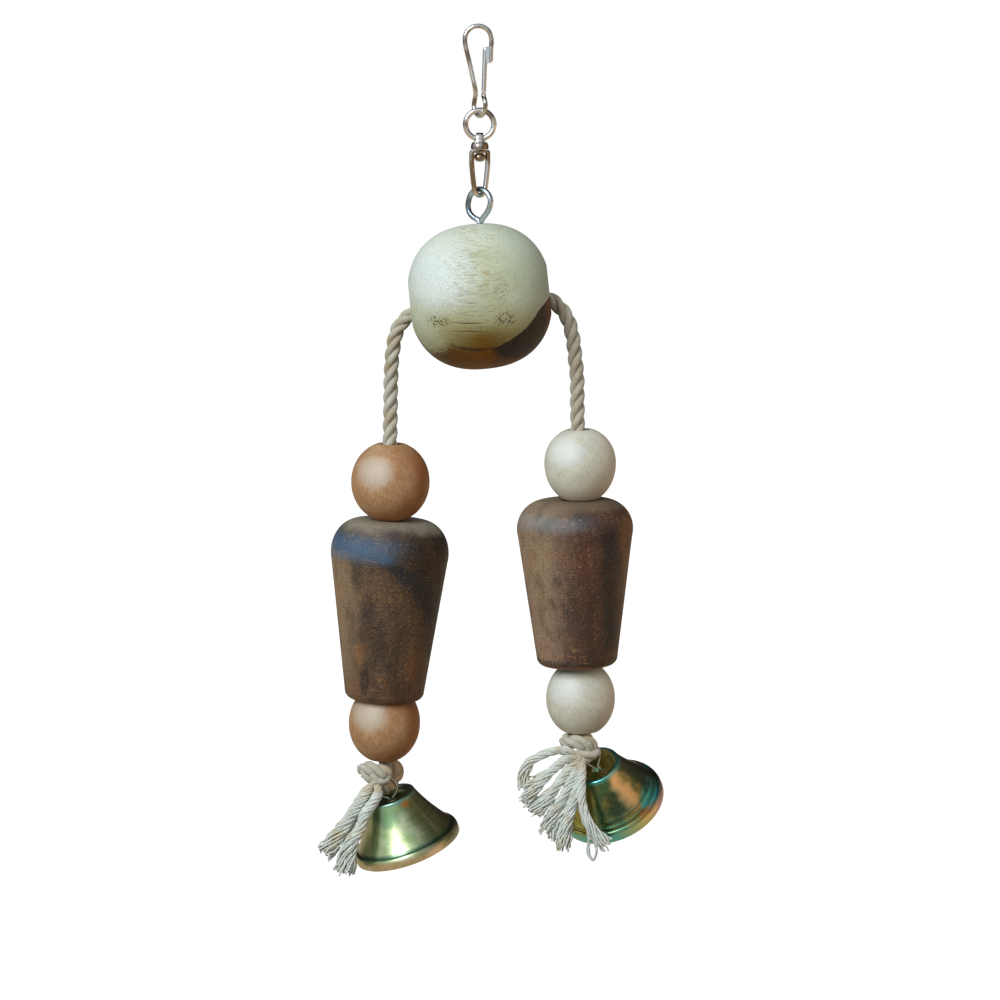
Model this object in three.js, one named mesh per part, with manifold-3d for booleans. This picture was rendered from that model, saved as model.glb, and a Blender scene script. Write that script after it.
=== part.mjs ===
// Rope climbing bird toy, in millimetres, +Z up, front facing -Y.
// A snap hook, a ring and a swivel carry a drilled wooden ball. One rope runs through the ball and hangs
// down on both sides, each with two beads and a cone on it, a knot under them and a bell on the knot.
// The origin is the point under the hook's bow that rests on the bar it hangs from.
import * as THREE from 'three';
import { mergeVertices } from 'three/addons/utils/BufferGeometryUtils.js';
import Module from 'manifold-3d';

const wasm = await Module();
wasm.setup();

// Gap between pieces that touch
const fit = 0.3;

// Snap hook: one spring wire, bow at the top, eye at the base, gate on the right
const hookWire = 1.8;
const bowRadius = 5.2;
const throatDepth = 25.2;
const throatWidth = 3.2;
const throatLead = 1.3;
const hookEyeRadius = 4.2;
const hookEyeDrop = 4.9;
const hookEyeTurn = -57;
const noseLength = 8.6;
const noseLean = 0.3;
const gateOverlap = 5.6;
const lipWidth = 1.5;
const lipThickness = 0.7;
const chainX = 0.6;

// Ring, swivel and screw eye
const ringWire = 2.1;
const ringRadius = 5.6;
const lugThickness = 3.4;
const lugWall = 0.8;
const lugHoleSlack = 0.25;
const capRadius = 4.0;
const capHeight = 3.7;
const shankRadius = 1.2;
const rivetRadius = 2.3;
const rivetHeight = 3.2;
const bailPlateThickness = 1.0;
const bailPlateDepth = 5.2;
const bailWire = 2.0;
const bailWidth = 7.6;
const bailShoulder = 5.2;
const bailBendRadius = 2.6;
const bailDrop = 17.2;
const bailTurn = 35;
const screwEyeWire = 2.2;
const screwEyeRadius = 5.3;
const screwEyeTurn = -35;
const screwEyeNeck = 3.05;
const screwEyeRise = [[-0.7, -7.0], [-2.8, -6.0], [-4.8, -4.3], [-5.7, -1.8]];
const screwEyeReturn = [[5.0, -1.0], [3.9, -3.3], [2.6, -4.9], [1.5, -5.9]];
const screwLength = 15;
const screwTip = 3;

// Wooden ball, turned about its bore
const ballRadius = 28.85;
const ballHalfLength = 28.6;
const ballFullness = 2.34;
const ballBoreRadius = 6.0;
const boreMouthRadius = 5.5;
const boreMouthDepth = 5.2;
const boreTilt = 6;

// Rope
const ropeDiameter = 6.0;
const beadBoreSlack = 1.3;
const coneBoreSlack = 2.0;

// Turned beads and cones
const beadFullness = 2.05;
const coneFootRound = 3.4;

// Strands. The routes are rope centre points in millimetres from the ball's centre, and from the middle of
// the lower bead's underside for the knots and tassels. Tassel strands end in the radius that they fray to.
// A bead is cut flat at its rise and fall, the heights above and below its widest ring. Its bulges are
// the half heights that its curves would reach uncut. A cone's crown is the width of its flat top. A
// shift is how far a piece hangs off the rope's line, and a tilt is how far it leans against it.
const left = {
  name: 'left',
  bend: [[-21.4, 0, -4.7], [-28.0, 0, -7.6], [-32.6, 0, -12.8], [-34.6, 0, -21.0]],
  pivot: [-35.4, 0, -31.5],
  lean: 1.15,
  drop: 27.3,
  upperBead: {
    diameter: 31.4, rise: 15.3, topBulge: 16.3,
    fall: 15.1, footBulge: 16.3, shift: 0.45, tilt: 0,
  },
  cone: {
    diameter: 47.3, height: 72.7, shoulder: 13.1, crown: 26.0, foot: 32.0,
    shift: -0.7, tilt: 1.3,
  },
  lowerBead: {
    diameter: 28.8, rise: 9.7, topBulge: 16.2,
    fall: 15.0, footBulge: 16.2, shift: -0.4, tilt: 1.3,
  },
  knot: [
    [[0, 0, 1.6], [0, 0, 0], [0.4, 0.7, -2.2], [3.2, 3.9, -5.4], [2.1, 4.7, -8.8], [1.2, 0, -11.6],
      [0.5, -4.6, -9.4], [-2.4, -5.9, -7.4], [-6.0, -5.0, -5.8], [-8.2, -3.2, -4.2]],
    [[-7.9, -3.2, -4.6], [-8.1, -3.8, -3.0], [-5.6, -5.2, -3.0], [-1.6, -6.4, -3.6], [0.8, -6.2, -4.8],
      [-0.4, -5.8, -6.4], [-2.4, -5.6, -7.8], [-3.4, -6.0, -9.0]],
  ],
  hang: [1.2, 0, -11.6],
  tassel: [
    { frays: 3.5, route: [
      [-3.4, -6.0, -8.6], [-5.4, -7.8, -13.6], [-11.6, -8.6, -21.6], [-17.8, -8.8, -31.8],
      [-24.0, -9.0, -39.4]] },
    { frays: 3.4, route: [
      [-3.2, -6.2, -8.6], [-3.4, -8.8, -14.2], [-5.8, -10.4, -19.0], [-9.6, -10.8, -24.8],
      [-12.8, -10.8, -32.8], [-15.4, -11.2, -46.8]] },
  ],
  bellLean: 18.6,
  bellTip: 9.5,
  hangerDrop: 0,
  beadColour: 0xb48c69,
  coneColour: 0x513826,
  bellColour: 0x8f9a62,
};
const right = {
  name: 'right',
  bend: [[12.0, 0, -1.0], [22.6, 0, 0.5], [28.8, 0, -1.7], [34.4, 0, -8.0], [36.9, 0, -16.2],
    [37.9, 0, -24.7]],
  pivot: [38.6, 0, -31.0],
  lean: -0.9,
  drop: 22.1,
  upperBead: {
    diameter: 28.7, rise: 13.4, topBulge: 14.4,
    fall: 14.5, footBulge: 16.4, shift: 0.85, tilt: 0,
  },
  cone: {
    diameter: 46.6, height: 66.9, shoulder: 11.6, crown: 24.0, foot: 32.6,
    shift: -1.35, tilt: -0.2,
  },
  lowerBead: {
    diameter: 27.8, rise: 13.5, topBulge: 15.5,
    fall: 13.4, footBulge: 15.5, shift: -0.2, tilt: 0,
  },
  knot: [
    [[0, 0, 1.6], [0, 0, 0], [0.2, 0.9, -2.0], [1.9, 4.1, -4.5], [3.5, 4.6, -6.9], [3.5, 0, -9.7],
      [3.5, -4.5, -7.1], [3.0, -6.3, -4.2], [-1.0, -6.6, -3.5], [-5.2, -4.8, -3.5], [-6.2, -0.6, -3.9]],
    [[-6.2, -1.2, -3.9], [-4.4, 3.0, -4.4], [-0.4, 4.6, -5.6], [2.4, 4.8, -6.4]],
    [[4.4, -3.6, -6.2], [4.2, -6.4, -7.8], [1.4, -7.4, -9.0], [-1.6, -7.6, -9.4]],
  ],
  hang: [3.5, 0, -9.7],
  tassel: [
    { frays: 2.9, route: [
      [-0.6, -7.8, -9.2], [-6.6, -8.6, -8.2], [-14, -9.4, -8.6], [-20.6, -9.8, -11.6],
      [-23.2, -9.8, -17.8], [-23.6, -9.8, -24.2]] },
    { frays: 2.9, route: [
      [-0.8, -8.2, -9.6], [-8.0, -10.4, -14.4], [-14.6, -11.2, -21.2], [-23.6, -11.8, -29.2]] },
    { frays: 3.1, route: [
      [-0.6, -8.4, -9.8], [-6.0, -11.4, -18.4], [-10.2, -12.4, -27.6], [-16.2, -12.8, -39.4]] },
    { frays: 3.3, route: [
      [0.0, -8.6, -9.8], [-1.6, -12.4, -20.4], [-4.2, -13.8, -31.8], [-8.2, -14.6, -48]] },
    { frays: 2.9, route: [
      [0.4, -8.8, -9.8], [0.8, -13.2, -19.6], [1.4, -15.4, -29.2], [4.6, -16.6, -37.6],
      [10.6, -17.4, -46.2]] },
  ],
  bellLean: 22,
  bellTip: 30,
  hangerDrop: 1.2,
  beadColour: 0xd7d2be,
  coneColour: 0x4a3424,
  bellColour: 0x5f6238,
};
const tasselRadius = 2.1;

// Bell, hanger and clapper, alike on both sides. The bell hangs by its wire from the rope at the knot.
const bellCrownRadius = 10.2;
const bellMouthRadius = 22.0;
const bellHeight = 23.2;
const bellFlare = 0.69;
const bellWall = 0.9;
const bellEdge = 0.8;
const bellDishDepth = 2.4;
const bellDishRadius = 7.4;
const bellDishRound = 0.8;
const bellLipHeight = 4.5;
const bellLipBand = 1.5;
const bellLipStep = 1.9;
const bellHoleRadius = 1.9;
const hangerWire = 0.9;
const hangerWaist = 0.9;
const hangerLoop = 1.7;
const hangerSlack = 0.6;
const clapperWire = 0.9;
const clapperLoop = 1.6;
const clapperLength = 11.0;
const clapperRadius = 3.4;

// Roundness of the solids
const wireSides = 8;
const ropeSides = 8;

const rad = THREE.MathUtils.degToRad;
const vec = ([x, y, z]) => new THREE.Vector3(x, y, z);
const spline = (points) => new THREE.CatmullRomCurve3(points.map(vec));

// A round bar of constant thickness along an open curve
function tube(curve, diameter, sides, steps) {
  const section = new THREE.Shape();
  section.absarc(0, 0, diameter / 2, 0, 2 * Math.PI);
  const options = { extrudePath: curve, steps, curveSegments: sides / 2, bevelEnabled: false };
  return new THREE.ExtrudeGeometry(section, options);
}

// A body of revolution about Z. The profile is [radius, height] points, up the outside and down the inside.
function revolve(profile, segments) {
  const points = profile.map(([r, z]) => new THREE.Vector2(r, z));
  return new THREE.LatheGeometry(points, segments).rotateX(Math.PI / 2);
}

function solid(geometry) {
  geometry.deleteAttribute('normal');
  geometry.deleteAttribute('uv');
  const merged = mergeVertices(geometry, 1e-4);
  const index = [];
  for (let i = 0; i < merged.index.count; i += 3) {
    const [a, b, c] = [0, 1, 2].map((k) => merged.index.getX(i + k));
    if (a !== b && b !== c && c !== a) index.push(a, b, c);
  }
  const vertProperties = new Float32Array(merged.attributes.position.array);
  return new wasm.Manifold(new wasm.Mesh({ numProp: 3, vertProperties, triVerts: new Uint32Array(index) }));
}

function geometryOf(manifold) {
  const mesh = manifold.getMesh();
  const geometry = new THREE.BufferGeometry();
  geometry.setAttribute('position', new THREE.BufferAttribute(new Float32Array(mesh.vertProperties), 3));
  geometry.setIndex(new THREE.BufferAttribute(new Uint32Array(mesh.triVerts), 1));
  geometry.computeVertexNormals();
  return geometry;
}

const join = (first, ...rest) => geometryOf(rest.reduce((sum, g) => sum.add(solid(g)), solid(first)));
const cut = (first, ...rest) => geometryOf(rest.reduce((sum, g) => sum.subtract(solid(g)), solid(first)));

// A limp strand along a curve whose radius swells from its root to the frayed end
function strand(points, rootRadius, endRadius) {
  const curve = spline(points);
  const steps = 2 * (points.length - 1);
  const sides = 6;
  const frames = curve.computeFrenetFrames(steps, false);
  const positions = [];
  for (let i = 0; i <= steps; i += 1) {
    const t = i / steps;
    const radius = THREE.MathUtils.lerp(rootRadius, endRadius, THREE.MathUtils.smoothstep(t, 0.45, 1));
    const centre = curve.getPointAt(t);
    for (let k = 0; k < sides; k += 1) {
      const a = (2 * Math.PI * k) / sides;
      const offset = frames.normals[i].clone().multiplyScalar(radius * Math.cos(a));
      offset.addScaledVector(frames.binormals[i], radius * Math.sin(a));
      positions.push(...centre.clone().add(offset).toArray());
    }
  }
  const first = positions.length / 3;
  positions.push(...curve.getPointAt(0).toArray(), ...curve.getPointAt(1).toArray());
  const index = [];
  for (let k = 0; k < sides; k += 1) {
    const next = (k + 1) % sides;
    for (let i = 0; i < steps; i += 1) {
      const [a, b, c, d] = [i * sides + k, i * sides + next, (i + 1) * sides + next, (i + 1) * sides + k];
      index.push(a, b, c, a, c, d);
    }
    index.push(first, next, k, first + 1, steps * sides + k, steps * sides + next);
  }
  const geometry = new THREE.BufferGeometry();
  geometry.setAttribute('position', new THREE.Float32BufferAttribute(positions, 3));
  geometry.setIndex(index);
  return geometry;
}

const finishes = {
  nickel: { roughness: 0.22, metalness: 1 },
  zinc: { roughness: 0.35, metalness: 1 },
  brass: { roughness: 0.28, metalness: 1 },
  wood: { roughness: 0.6, metalness: 0 },
  cotton: { roughness: 0.95, metalness: 0 },
};

function piece(parent, name, geometry, colour, finish) {
  const material = new THREE.MeshStandardMaterial({ color: colour, ...finishes[finish] });
  const mesh = new THREE.Mesh(geometry, material);
  mesh.name = name;
  parent.add(mesh);
  return mesh;
}

function groupAt(parent, [x, y, z]) {
  const group = new THREE.Group();
  group.position.set(x, y, z);
  parent.add(group);
  return group;
}

const toy = new THREE.Group();

// Snap hook
const bowZ = hookWire / 2 - bowRadius;
const noseX = bowRadius - noseLean;
const noseZ = bowZ - noseLength;
const hookEyeZ = -throatDepth - hookEyeDrop;
const eyePoint = (angle) => {
  const along = hookEyeRadius * Math.cos(rad(angle));
  const x = chainX + along * Math.cos(rad(hookEyeTurn));
  return [x, along * Math.sin(rad(hookEyeTurn)), hookEyeZ + hookEyeRadius * Math.sin(rad(angle))];
};
const bowPoint = (angle) => [bowRadius * Math.cos(rad(angle)), 0, bowZ + bowRadius * Math.sin(rad(angle))];
const throatLeft = [chainX - throatWidth / 2, 0, -throatDepth];
const gateFoot = new THREE.Vector3(chainX + throatWidth / 2, 0, -throatDepth + fit);
const gateTip = new THREE.Vector3(noseX - hookWire - fit, 0, noseZ + gateOverlap);
const gateRun = gateTip.clone().sub(gateFoot).normalize();
const legMiddle = [(throatLeft[0] - bowRadius) / 2, 0, (bowZ - throatDepth) / 2];
const hookRoute = [
  [noseX, 0, noseZ],
  [noseX + noseLean / 2, 0, noseZ + noseLength / 2],
  ...[0, 36, 72, 108, 144, 180].map(bowPoint),
  legMiddle,
  throatLeft,
  ...[150, 185, 220, 255, 290, 325, 360, 385].map(eyePoint),
  gateFoot.clone().addScaledVector(gateRun, -throatLead - fit).toArray(),
  gateFoot.clone().addScaledVector(gateRun, -fit).toArray(),
];
const lipX = noseX - hookWire / 2 - fit;
const lipShape = new THREE.Shape();
lipShape.absarc(lipX, noseZ, lipWidth / 2, Math.PI, 2 * Math.PI);
lipShape.absarc(lipX, noseZ + gateOverlap - lipWidth / 2, lipWidth / 2, 0, Math.PI);
const lipOptions = { depth: lipThickness, bevelEnabled: false, curveSegments: 6 };
const lip = new THREE.ExtrudeGeometry(lipShape, lipOptions);
lip.rotateX(Math.PI / 2).translate(0, -hookWire / 2 - fit, 0);
const turnWidth = hookWire / 2 + lipWidth / 2 - fit;
const noseTurn = new THREE.BoxGeometry(turnWidth, hookWire / 2 + fit + lipThickness, lipWidth / 2);
noseTurn.translate(noseX - turnWidth / 2 + hookWire / 4, -(hookWire / 2 + fit + lipThickness) / 2, noseZ);
const hookTube = tube(spline(hookRoute), hookWire, wireSides, 54);
piece(toy, 'snap_hook', join(hookTube, lip, noseTurn), 0xc9cacb, 'nickel');

// Gate: the sprung leg from the eye up to the inside of the nose
const gateCurve = new THREE.LineCurve3(gateFoot, gateTip);
piece(toy, 'snap_gate', tube(gateCurve, hookWire, wireSides, 6), 0xd2d3d4, 'nickel');

// Connecting ring, resting on the wire at the bottom of the hook's eye
const hookEyeFoot = hookEyeZ - hookEyeRadius;
const ringZ = hookEyeFoot + hookWire / 2 + fit + ringWire / 2 - ringRadius;
const ring = new THREE.TorusGeometry(ringRadius, ringWire / 2, wireSides, 24).rotateX(Math.PI / 2);
piece(groupAt(toy, [chainX, 0, ringZ]), 'connecting_ring', ring, 0xbfc0c2, 'nickel');

// Swivel eye: a lug over the ring's wire on a domed cap, with a shank and rivet head under the bail's plate
const swivelZ = ringZ - ringRadius;
const swivel = groupAt(toy, [chainX, 0, swivelZ]);
const lugHole = ringWire / 2 + fit + lugHoleSlack;
const lugRadius = lugHole + lugWall;
const capFoot = -lugRadius - capHeight / 2;
const rivetTop = capFoot - bailPlateThickness - 2 * fit;
const rivetFoot = rivetTop - rivetHeight;
const lugShape = new THREE.Shape();
lugShape.absarc(0, 0, lugRadius, 0, Math.PI);
lugShape.lineTo(-lugRadius, -lugRadius);
lugShape.lineTo(lugRadius, -lugRadius);
const lugOptions = { depth: lugThickness, bevelEnabled: false, curveSegments: 12 };
const lug = new THREE.ExtrudeGeometry(lugShape, lugOptions);
lug.translate(0, 0, -lugThickness / 2).rotateX(Math.PI / 2).rotateZ(Math.PI / 2);
const capProfile = [
  [0, rivetFoot],
  [0.6 * rivetRadius, rivetFoot],
  [rivetRadius, rivetFoot + 0.35 * rivetHeight],
  [rivetRadius, rivetFoot + 0.65 * rivetHeight],
  [0.7 * rivetRadius, rivetTop],
  [shankRadius, rivetTop],
  [shankRadius, capFoot],
  [0.94 * capRadius, capFoot],
  [capRadius, capFoot + 0.2 * capHeight],
  [0.97 * capRadius, capFoot + 0.6 * capHeight],
  [0.8 * capRadius, capFoot + 0.86 * capHeight],
  [0.5 * capRadius, capFoot + capHeight],
  [0, capFoot + capHeight],
];
const lugBore = new THREE.CylinderGeometry(lugHole, lugHole, 2 * capRadius, 16).rotateZ(Math.PI / 2);
const swivelBody = join(revolve(capProfile, 16), lug);
piece(swivel, 'swivel_eye', cut(swivelBody, lugBore), 0xd0d2d4, 'nickel');

// Swivel bail: a plate on the shank with a V loop under it
const bail = groupAt(swivel, [0, 0, capFoot - fit - bailPlateThickness / 2]);
bail.rotation.z = rad(bailTurn);
const plateShape = new THREE.Shape();
plateShape.absarc(bailWidth / 2 - bailWire / 2, 0, bailPlateDepth / 2, -Math.PI / 2, Math.PI / 2);
plateShape.absarc(bailWire / 2 - bailWidth / 2, 0, bailPlateDepth / 2, Math.PI / 2, 1.5 * Math.PI);
const shankHole = new THREE.Path();
shankHole.absarc(0, 0, shankRadius + fit, 0, 2 * Math.PI);
plateShape.holes.push(shankHole);
const plateOptions = { depth: bailPlateThickness, bevelEnabled: false, curveSegments: 8 };
const plate = new THREE.ExtrudeGeometry(plateShape, plateOptions).translate(0, 0, -bailPlateThickness / 2);
const bailBendZ = bailBendRadius - bailDrop;
const bailBend = [210, 240, 270, 300, 330].map((angle) => [
  bailBendRadius * Math.cos(rad(angle)), 0, bailBendZ + bailBendRadius * Math.sin(rad(angle)),
]);
const bailRoute = [
  [-bailWidth / 2, 0, 0],
  [-bailWidth / 2, 0, -bailShoulder],
  [-bailBendRadius, 0, bailBendZ],
  ...bailBend,
  [bailBendRadius, 0, bailBendZ],
  [bailWidth / 2, 0, -bailShoulder],
  [bailWidth / 2, 0, 0],
];
const bailTube = tube(spline(bailRoute), bailWire, wireSides, 28);
piece(bail, 'swivel_bail', join(bailTube, plate), 0xb9babd, 'nickel');

// Screw eye, hung on the bail's bend and driven into the top of the ball
const bailFootZ = swivelZ + capFoot - fit - bailPlateThickness / 2 - bailDrop;
const screwEyeZ = bailFootZ + bailWire / 2 + fit + screwEyeWire / 2 - screwEyeRadius;
const screwEye = groupAt(toy, [chainX, 0, screwEyeZ]);
screwEye.rotation.z = rad(screwEyeTurn);
const neckZ = -screwEyeRadius - screwEyeNeck;
const screwEyeLoop = [165, 140, 115, 90, 65, 40, 15].map((angle) => [
  screwEyeRadius * Math.cos(rad(angle)), 0, screwEyeRadius * Math.sin(rad(angle)),
]);
const screwEyeRoute = [
  [0, 0, neckZ - screwLength],
  [0, 0, neckZ - screwLength / 2],
  [0, 0, neckZ],
  ...screwEyeRise.map(([x, z]) => [x, 0, z]),
  ...screwEyeLoop,
  ...screwEyeReturn.map(([x, z]) => [x, 0, z]),
];
const screwPoint = new THREE.ConeGeometry(screwEyeWire / 2, screwTip, wireSides).rotateX(-Math.PI / 2);
screwPoint.translate(0, 0, neckZ - screwLength - screwTip / 2 + fit);
const screwTube = tube(spline(screwEyeRoute), screwEyeWire, wireSides, 34);
piece(screwEye, 'screw_eye', join(screwTube, screwPoint), 0xaab4bd, 'zinc');

// Wooden ball with its rounded bore mouths and the screw's hole
const ballZ = screwEyeZ + neckZ - ballRadius;
const ball = groupAt(toy, [chainX, 0, ballZ]);
const mouthWidth = ballBoreRadius + boreMouthRadius - Math.sqrt(boreMouthRadius ** 2 - boreMouthDepth ** 2);
const ballPower = 2 / ballFullness;
const endAngle = Math.acos((mouthWidth / ballRadius) ** (1 / ballPower));
const ballEnd = ballHalfLength * Math.sin(endAngle) ** ballPower;
const ballSkin = [...Array(11).keys()].map((i) => {
  const a = THREE.MathUtils.lerp(-endAngle, endAngle, i / 10);
  const along = ballHalfLength * Math.abs(Math.sin(a)) ** ballPower;
  return [ballRadius * Math.cos(a) ** ballPower, Math.sign(a) * along];
});
const mouth = [0.75, 0.45, 0].map((share) => {
  const depth = boreMouthDepth * share;
  const radius = ballBoreRadius + boreMouthRadius - Math.sqrt(boreMouthRadius ** 2 - depth ** 2);
  return [radius, ballEnd - boreMouthDepth + depth];
});
const farMouth = mouth.map(([r, z]) => [r, -z]).reverse();
const ballProfile = [...ballSkin, ...mouth, ...farMouth, ballSkin[0]];
const turnedBall = revolve(ballProfile, 28).rotateY(Math.PI / 2 - rad(boreTilt));
const screwHoleRadius = screwEyeWire / 2 + fit;
const screwHoleDepth = screwLength + screwTip;
const screwHole = new THREE.CylinderGeometry(screwHoleRadius, screwHoleRadius, 2 * screwHoleDepth, 12);
screwHole.rotateX(Math.PI / 2).translate(0, 0, ballRadius);
piece(ball, 'wooden_ball', cut(turnedBall, screwHole), 0xc8d0af, 'wood');

// A turned bead with flat ends round its bore
function beadProfile({ diameter, rise, topBulge, fall, footBulge }, bore) {
  const outside = [...Array(8).keys()].map((i) => {
    const z = THREE.MathUtils.lerp(-fall, rise, i / 7);
    const bulge = z > 0 ? topBulge : footBulge;
    const across = (1 - Math.abs(z / bulge) ** beadFullness) ** (1 / beadFullness);
    return [across * diameter / 2, z];
  });
  return [[bore, -fall], ...outside, [bore, rise], [bore, -fall]];
}

// A turned cone: round shoulder at the top, straight taper and a rounded foot
function coneProfile({ diameter, height, shoulder, crown, foot }, bore) {
  const shoulderRound = [-15, 6, 27, 48, 69, 90].map((angle) => [
    crown / 2 + (diameter - crown) / 2 * Math.cos(rad(angle)),
    height - shoulder + shoulder * Math.sin(rad(angle)),
  ]);
  const footRound = [-90, -60, -30, 0].map((angle) => [
    foot / 2 - coneFootRound + coneFootRound * Math.cos(rad(angle)),
    coneFootRound + coneFootRound * Math.sin(rad(angle)),
  ]);
  return [[bore, 0], ...footRound, ...shoulderRound, [bore, height], [bore, 0]];
}

const ropeRadius = ropeDiameter / 2;
const boreStart = (side) => {
  const along = side * fit / 2;
  const below = ballBoreRadius - ropeRadius - fit;
  const [c, s] = [Math.cos(rad(boreTilt)), Math.sin(rad(boreTilt))];
  return [along * c + below * s, 0, along * s - below * c];
};

// Hanger wire: a loop round the rope, a waist through the crown's hole and a small loop under it
function hangerCurve(drop) {
  const loop = ropeRadius + hangerSlack + hangerWire / 2;
  const floor = -loop - hangerWire / 2 - bellWall - drop;
  const foot = floor - bellWall - 2 * hangerLoop - hangerWire / 2;
  const half = [
    ...[45, 0, -45].map((angle) => [loop * Math.cos(rad(angle)), loop * Math.sin(rad(angle))]),
    [hangerWaist, floor + bellWall],
    [hangerWaist, floor - bellWall],
    [hangerLoop, floor - bellWall - hangerLoop],
  ];
  const rightSide = half.map(([x, z]) => [x, 0, z]);
  const leftSide = half.map(([x, z]) => [-x, 0, z]).reverse();
  const points = [[0, 0, loop], ...rightSide, [0, 0, foot], ...leftSide];
  return { curve: new THREE.CatmullRomCurve3(points.map(vec), true), floor, foot };
}

// A bell shell, its height measured from the floor of the dished crown
function bellProfile() {
  const mouthZ = bellDishDepth - bellHeight;
  const lipZ = mouthZ + bellLipHeight;
  const lipRadius = bellMouthRadius - bellLipStep;
  const flare = (inset) => [1, 0.75, 0.5, 0.25, 0].map((t) => [
    bellCrownRadius + (lipRadius - bellCrownRadius) * (bellFlare * t + (1 - bellFlare) * t * t) - inset,
    THREE.MathUtils.lerp(bellDishDepth - bellEdge - inset, lipZ, t),
  ]);
  const lip = (inset) => [0, 40, 80].map((angle) => [
    lipRadius + bellLipStep * Math.cos(rad(angle)) - inset,
    mouthZ + bellLipBand + (bellLipHeight - bellLipBand - inset / 2) * Math.sin(rad(angle)),
  ]);
  const outside = [
    [bellMouthRadius, mouthZ],
    ...lip(0),
    ...flare(0),
    [bellCrownRadius - 0.3 * bellEdge, bellDishDepth - 0.3 * bellEdge],
    [bellCrownRadius - bellEdge, bellDishDepth],
    [bellDishRadius, bellDishDepth - bellEdge],
    [bellDishRadius, bellDishRound],
    [bellDishRadius - bellDishRound, 0],
    [bellHoleRadius, 0],
  ];
  const inside = [
    [bellMouthRadius - bellWall, mouthZ],
    ...lip(bellWall),
    ...flare(bellWall).slice(0, -1),
    [bellDishRadius - bellDishRound, -bellWall],
    [bellHoleRadius, -bellWall],
  ];
  return [...outside, ...inside.reverse(), outside[0]];
}

// A clapper: an eye of wire over the hanger's small loop, with a ball at the end of its stem
function clapperBody() {
  const eye = new THREE.TorusGeometry(clapperLoop, clapperWire / 2, 6, 12).rotateY(Math.PI / 2);
  eye.translate(0, 0, -clapperLoop);
  const rodTop = -2 * clapperLoop;
  const rod = new THREE.CylinderGeometry(clapperWire / 2, clapperWire / 2, clapperLength + rodTop, 6);
  rod.rotateX(Math.PI / 2).translate(0, 0, (rodTop - clapperLength) / 2);
  const bob = new THREE.SphereGeometry(clapperRadius, 12, 8).rotateX(Math.PI / 2);
  bob.translate(0, 0, -clapperLength);
  return join(eye, rod, bob);
}

for (const side of [left, right]) {
  const named = (what) => `${side.name}_${what}`;
  const outward = side === left ? -1 : 1;

  // Half of the rope in the ball and its bend down to the strand's hinge
  const bendCurve = spline([boreStart(outward), ...side.bend, side.pivot]);
  const socket = new THREE.SphereGeometry(ropeRadius + fit, 12, 8).translate(...side.pivot);
  const bend = cut(tube(bendCurve, ropeDiameter, ropeSides, 12), socket);
  piece(ball, named('rope_bend'), bend, 0xe0e0d2, 'cotton');

  // The strand hangs from the hinge, and its pieces are stacked from the rope's drop downwards
  const strandGroup = groupAt(ball, side.pivot);
  strandGroup.rotation.y = rad(side.lean);
  const upperZ = -side.drop - side.upperBead.rise;
  const coneZ = upperZ - side.upperBead.fall - fit - side.cone.height;
  const lowerZ = coneZ - fit - side.lowerBead.rise;
  const stackFoot = lowerZ - side.lowerBead.fall;
  const beadBore = ropeRadius + beadBoreSlack;
  const coneBore = ropeRadius + coneBoreSlack;
  const threaded = (what, { shift, tilt }, z, shape, colour) => {
    const place = groupAt(strandGroup, [shift, 0, z]);
    place.rotation.y = rad(tilt);
    piece(place, named(what), shape, colour, 'wood');
  };
  const upperShape = revolve(beadProfile(side.upperBead, beadBore), 20);
  const coneShape = revolve(coneProfile(side.cone, coneBore), 24);
  const lowerShape = revolve(beadProfile(side.lowerBead, beadBore), 20);
  threaded('upper_bead', side.upperBead, upperZ, upperShape, side.beadColour);
  threaded('cone', side.cone, coneZ, coneShape, side.coneColour);
  threaded('lower_bead', side.lowerBead, lowerZ, lowerShape, side.beadColour);

  const ropeEnd = stackFoot + side.knot[0][0][2] + fit;
  const ropeProfile = [0, 30, 60, 90].map((angle) => [
    ropeRadius * Math.sin(rad(angle)), ropeRadius * Math.cos(rad(angle)),
  ]);
  const rope = revolve([[0, ropeEnd], [ropeRadius, ropeEnd], ...ropeProfile.reverse()], ropeSides);
  piece(strandGroup, named('rope'), rope, 0xdfe0d0, 'cotton');

  // Knot, its turns pressed into each other, and the frayed tail
  const knotGroup = groupAt(strandGroup, [0, 0, stackFoot]);
  const turns = (room) => side.knot.map((route) => (
    tube(spline(route), ropeDiameter + 2 * room, ropeSides, 2 * route.length)
  ));
  piece(knotGroup, named('knot'), join(...turns(0)), 0xdcdccb, 'cotton');
  const strands = side.tassel.map(({ route, frays }) => strand(route, tasselRadius, frays));
  const lastPoint = side.knot.at(-1).at(-1);
  const knotEnd = new THREE.SphereGeometry(ropeRadius + fit, 12, 8).translate(...lastPoint);
  const tail = cut(join(...strands), ...turns(fit), knotEnd);
  piece(knotGroup, named('tassel'), tail, 0xe2e3d8, 'cotton');

  // Bell on its hanger, and the clapper hanging plumb inside it
  const bell = groupAt(knotGroup, side.hang);
  bell.rotation.y = -rad(side.bellLean) - rad(side.lean);
  const { curve, floor, foot } = hangerCurve(side.hangerDrop);
  const hanger = new THREE.TubeGeometry(curve, 32, hangerWire / 2, 6, true);
  piece(bell, named('bell_hanger'), hanger, 0xb8bab8, 'nickel');
  const shell = piece(bell, named('bell'), revolve(bellProfile(), 24), side.bellColour, 'brass');
  shell.position.z = floor;
  shell.rotation.x = rad(side.bellTip);
  const clapper = groupAt(bell, [0, 0, foot + hangerWire / 2 + fit + clapperWire / 2]);
  clapper.rotation.y = rad(side.bellLean);
  piece(clapper, named('clapper'), clapperBody(), 0x8d8f90, 'zinc');
}

export default toy;
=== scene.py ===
import math

import bmesh
import bpy
import numpy as np
from mathutils import Matrix, Vector


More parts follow.
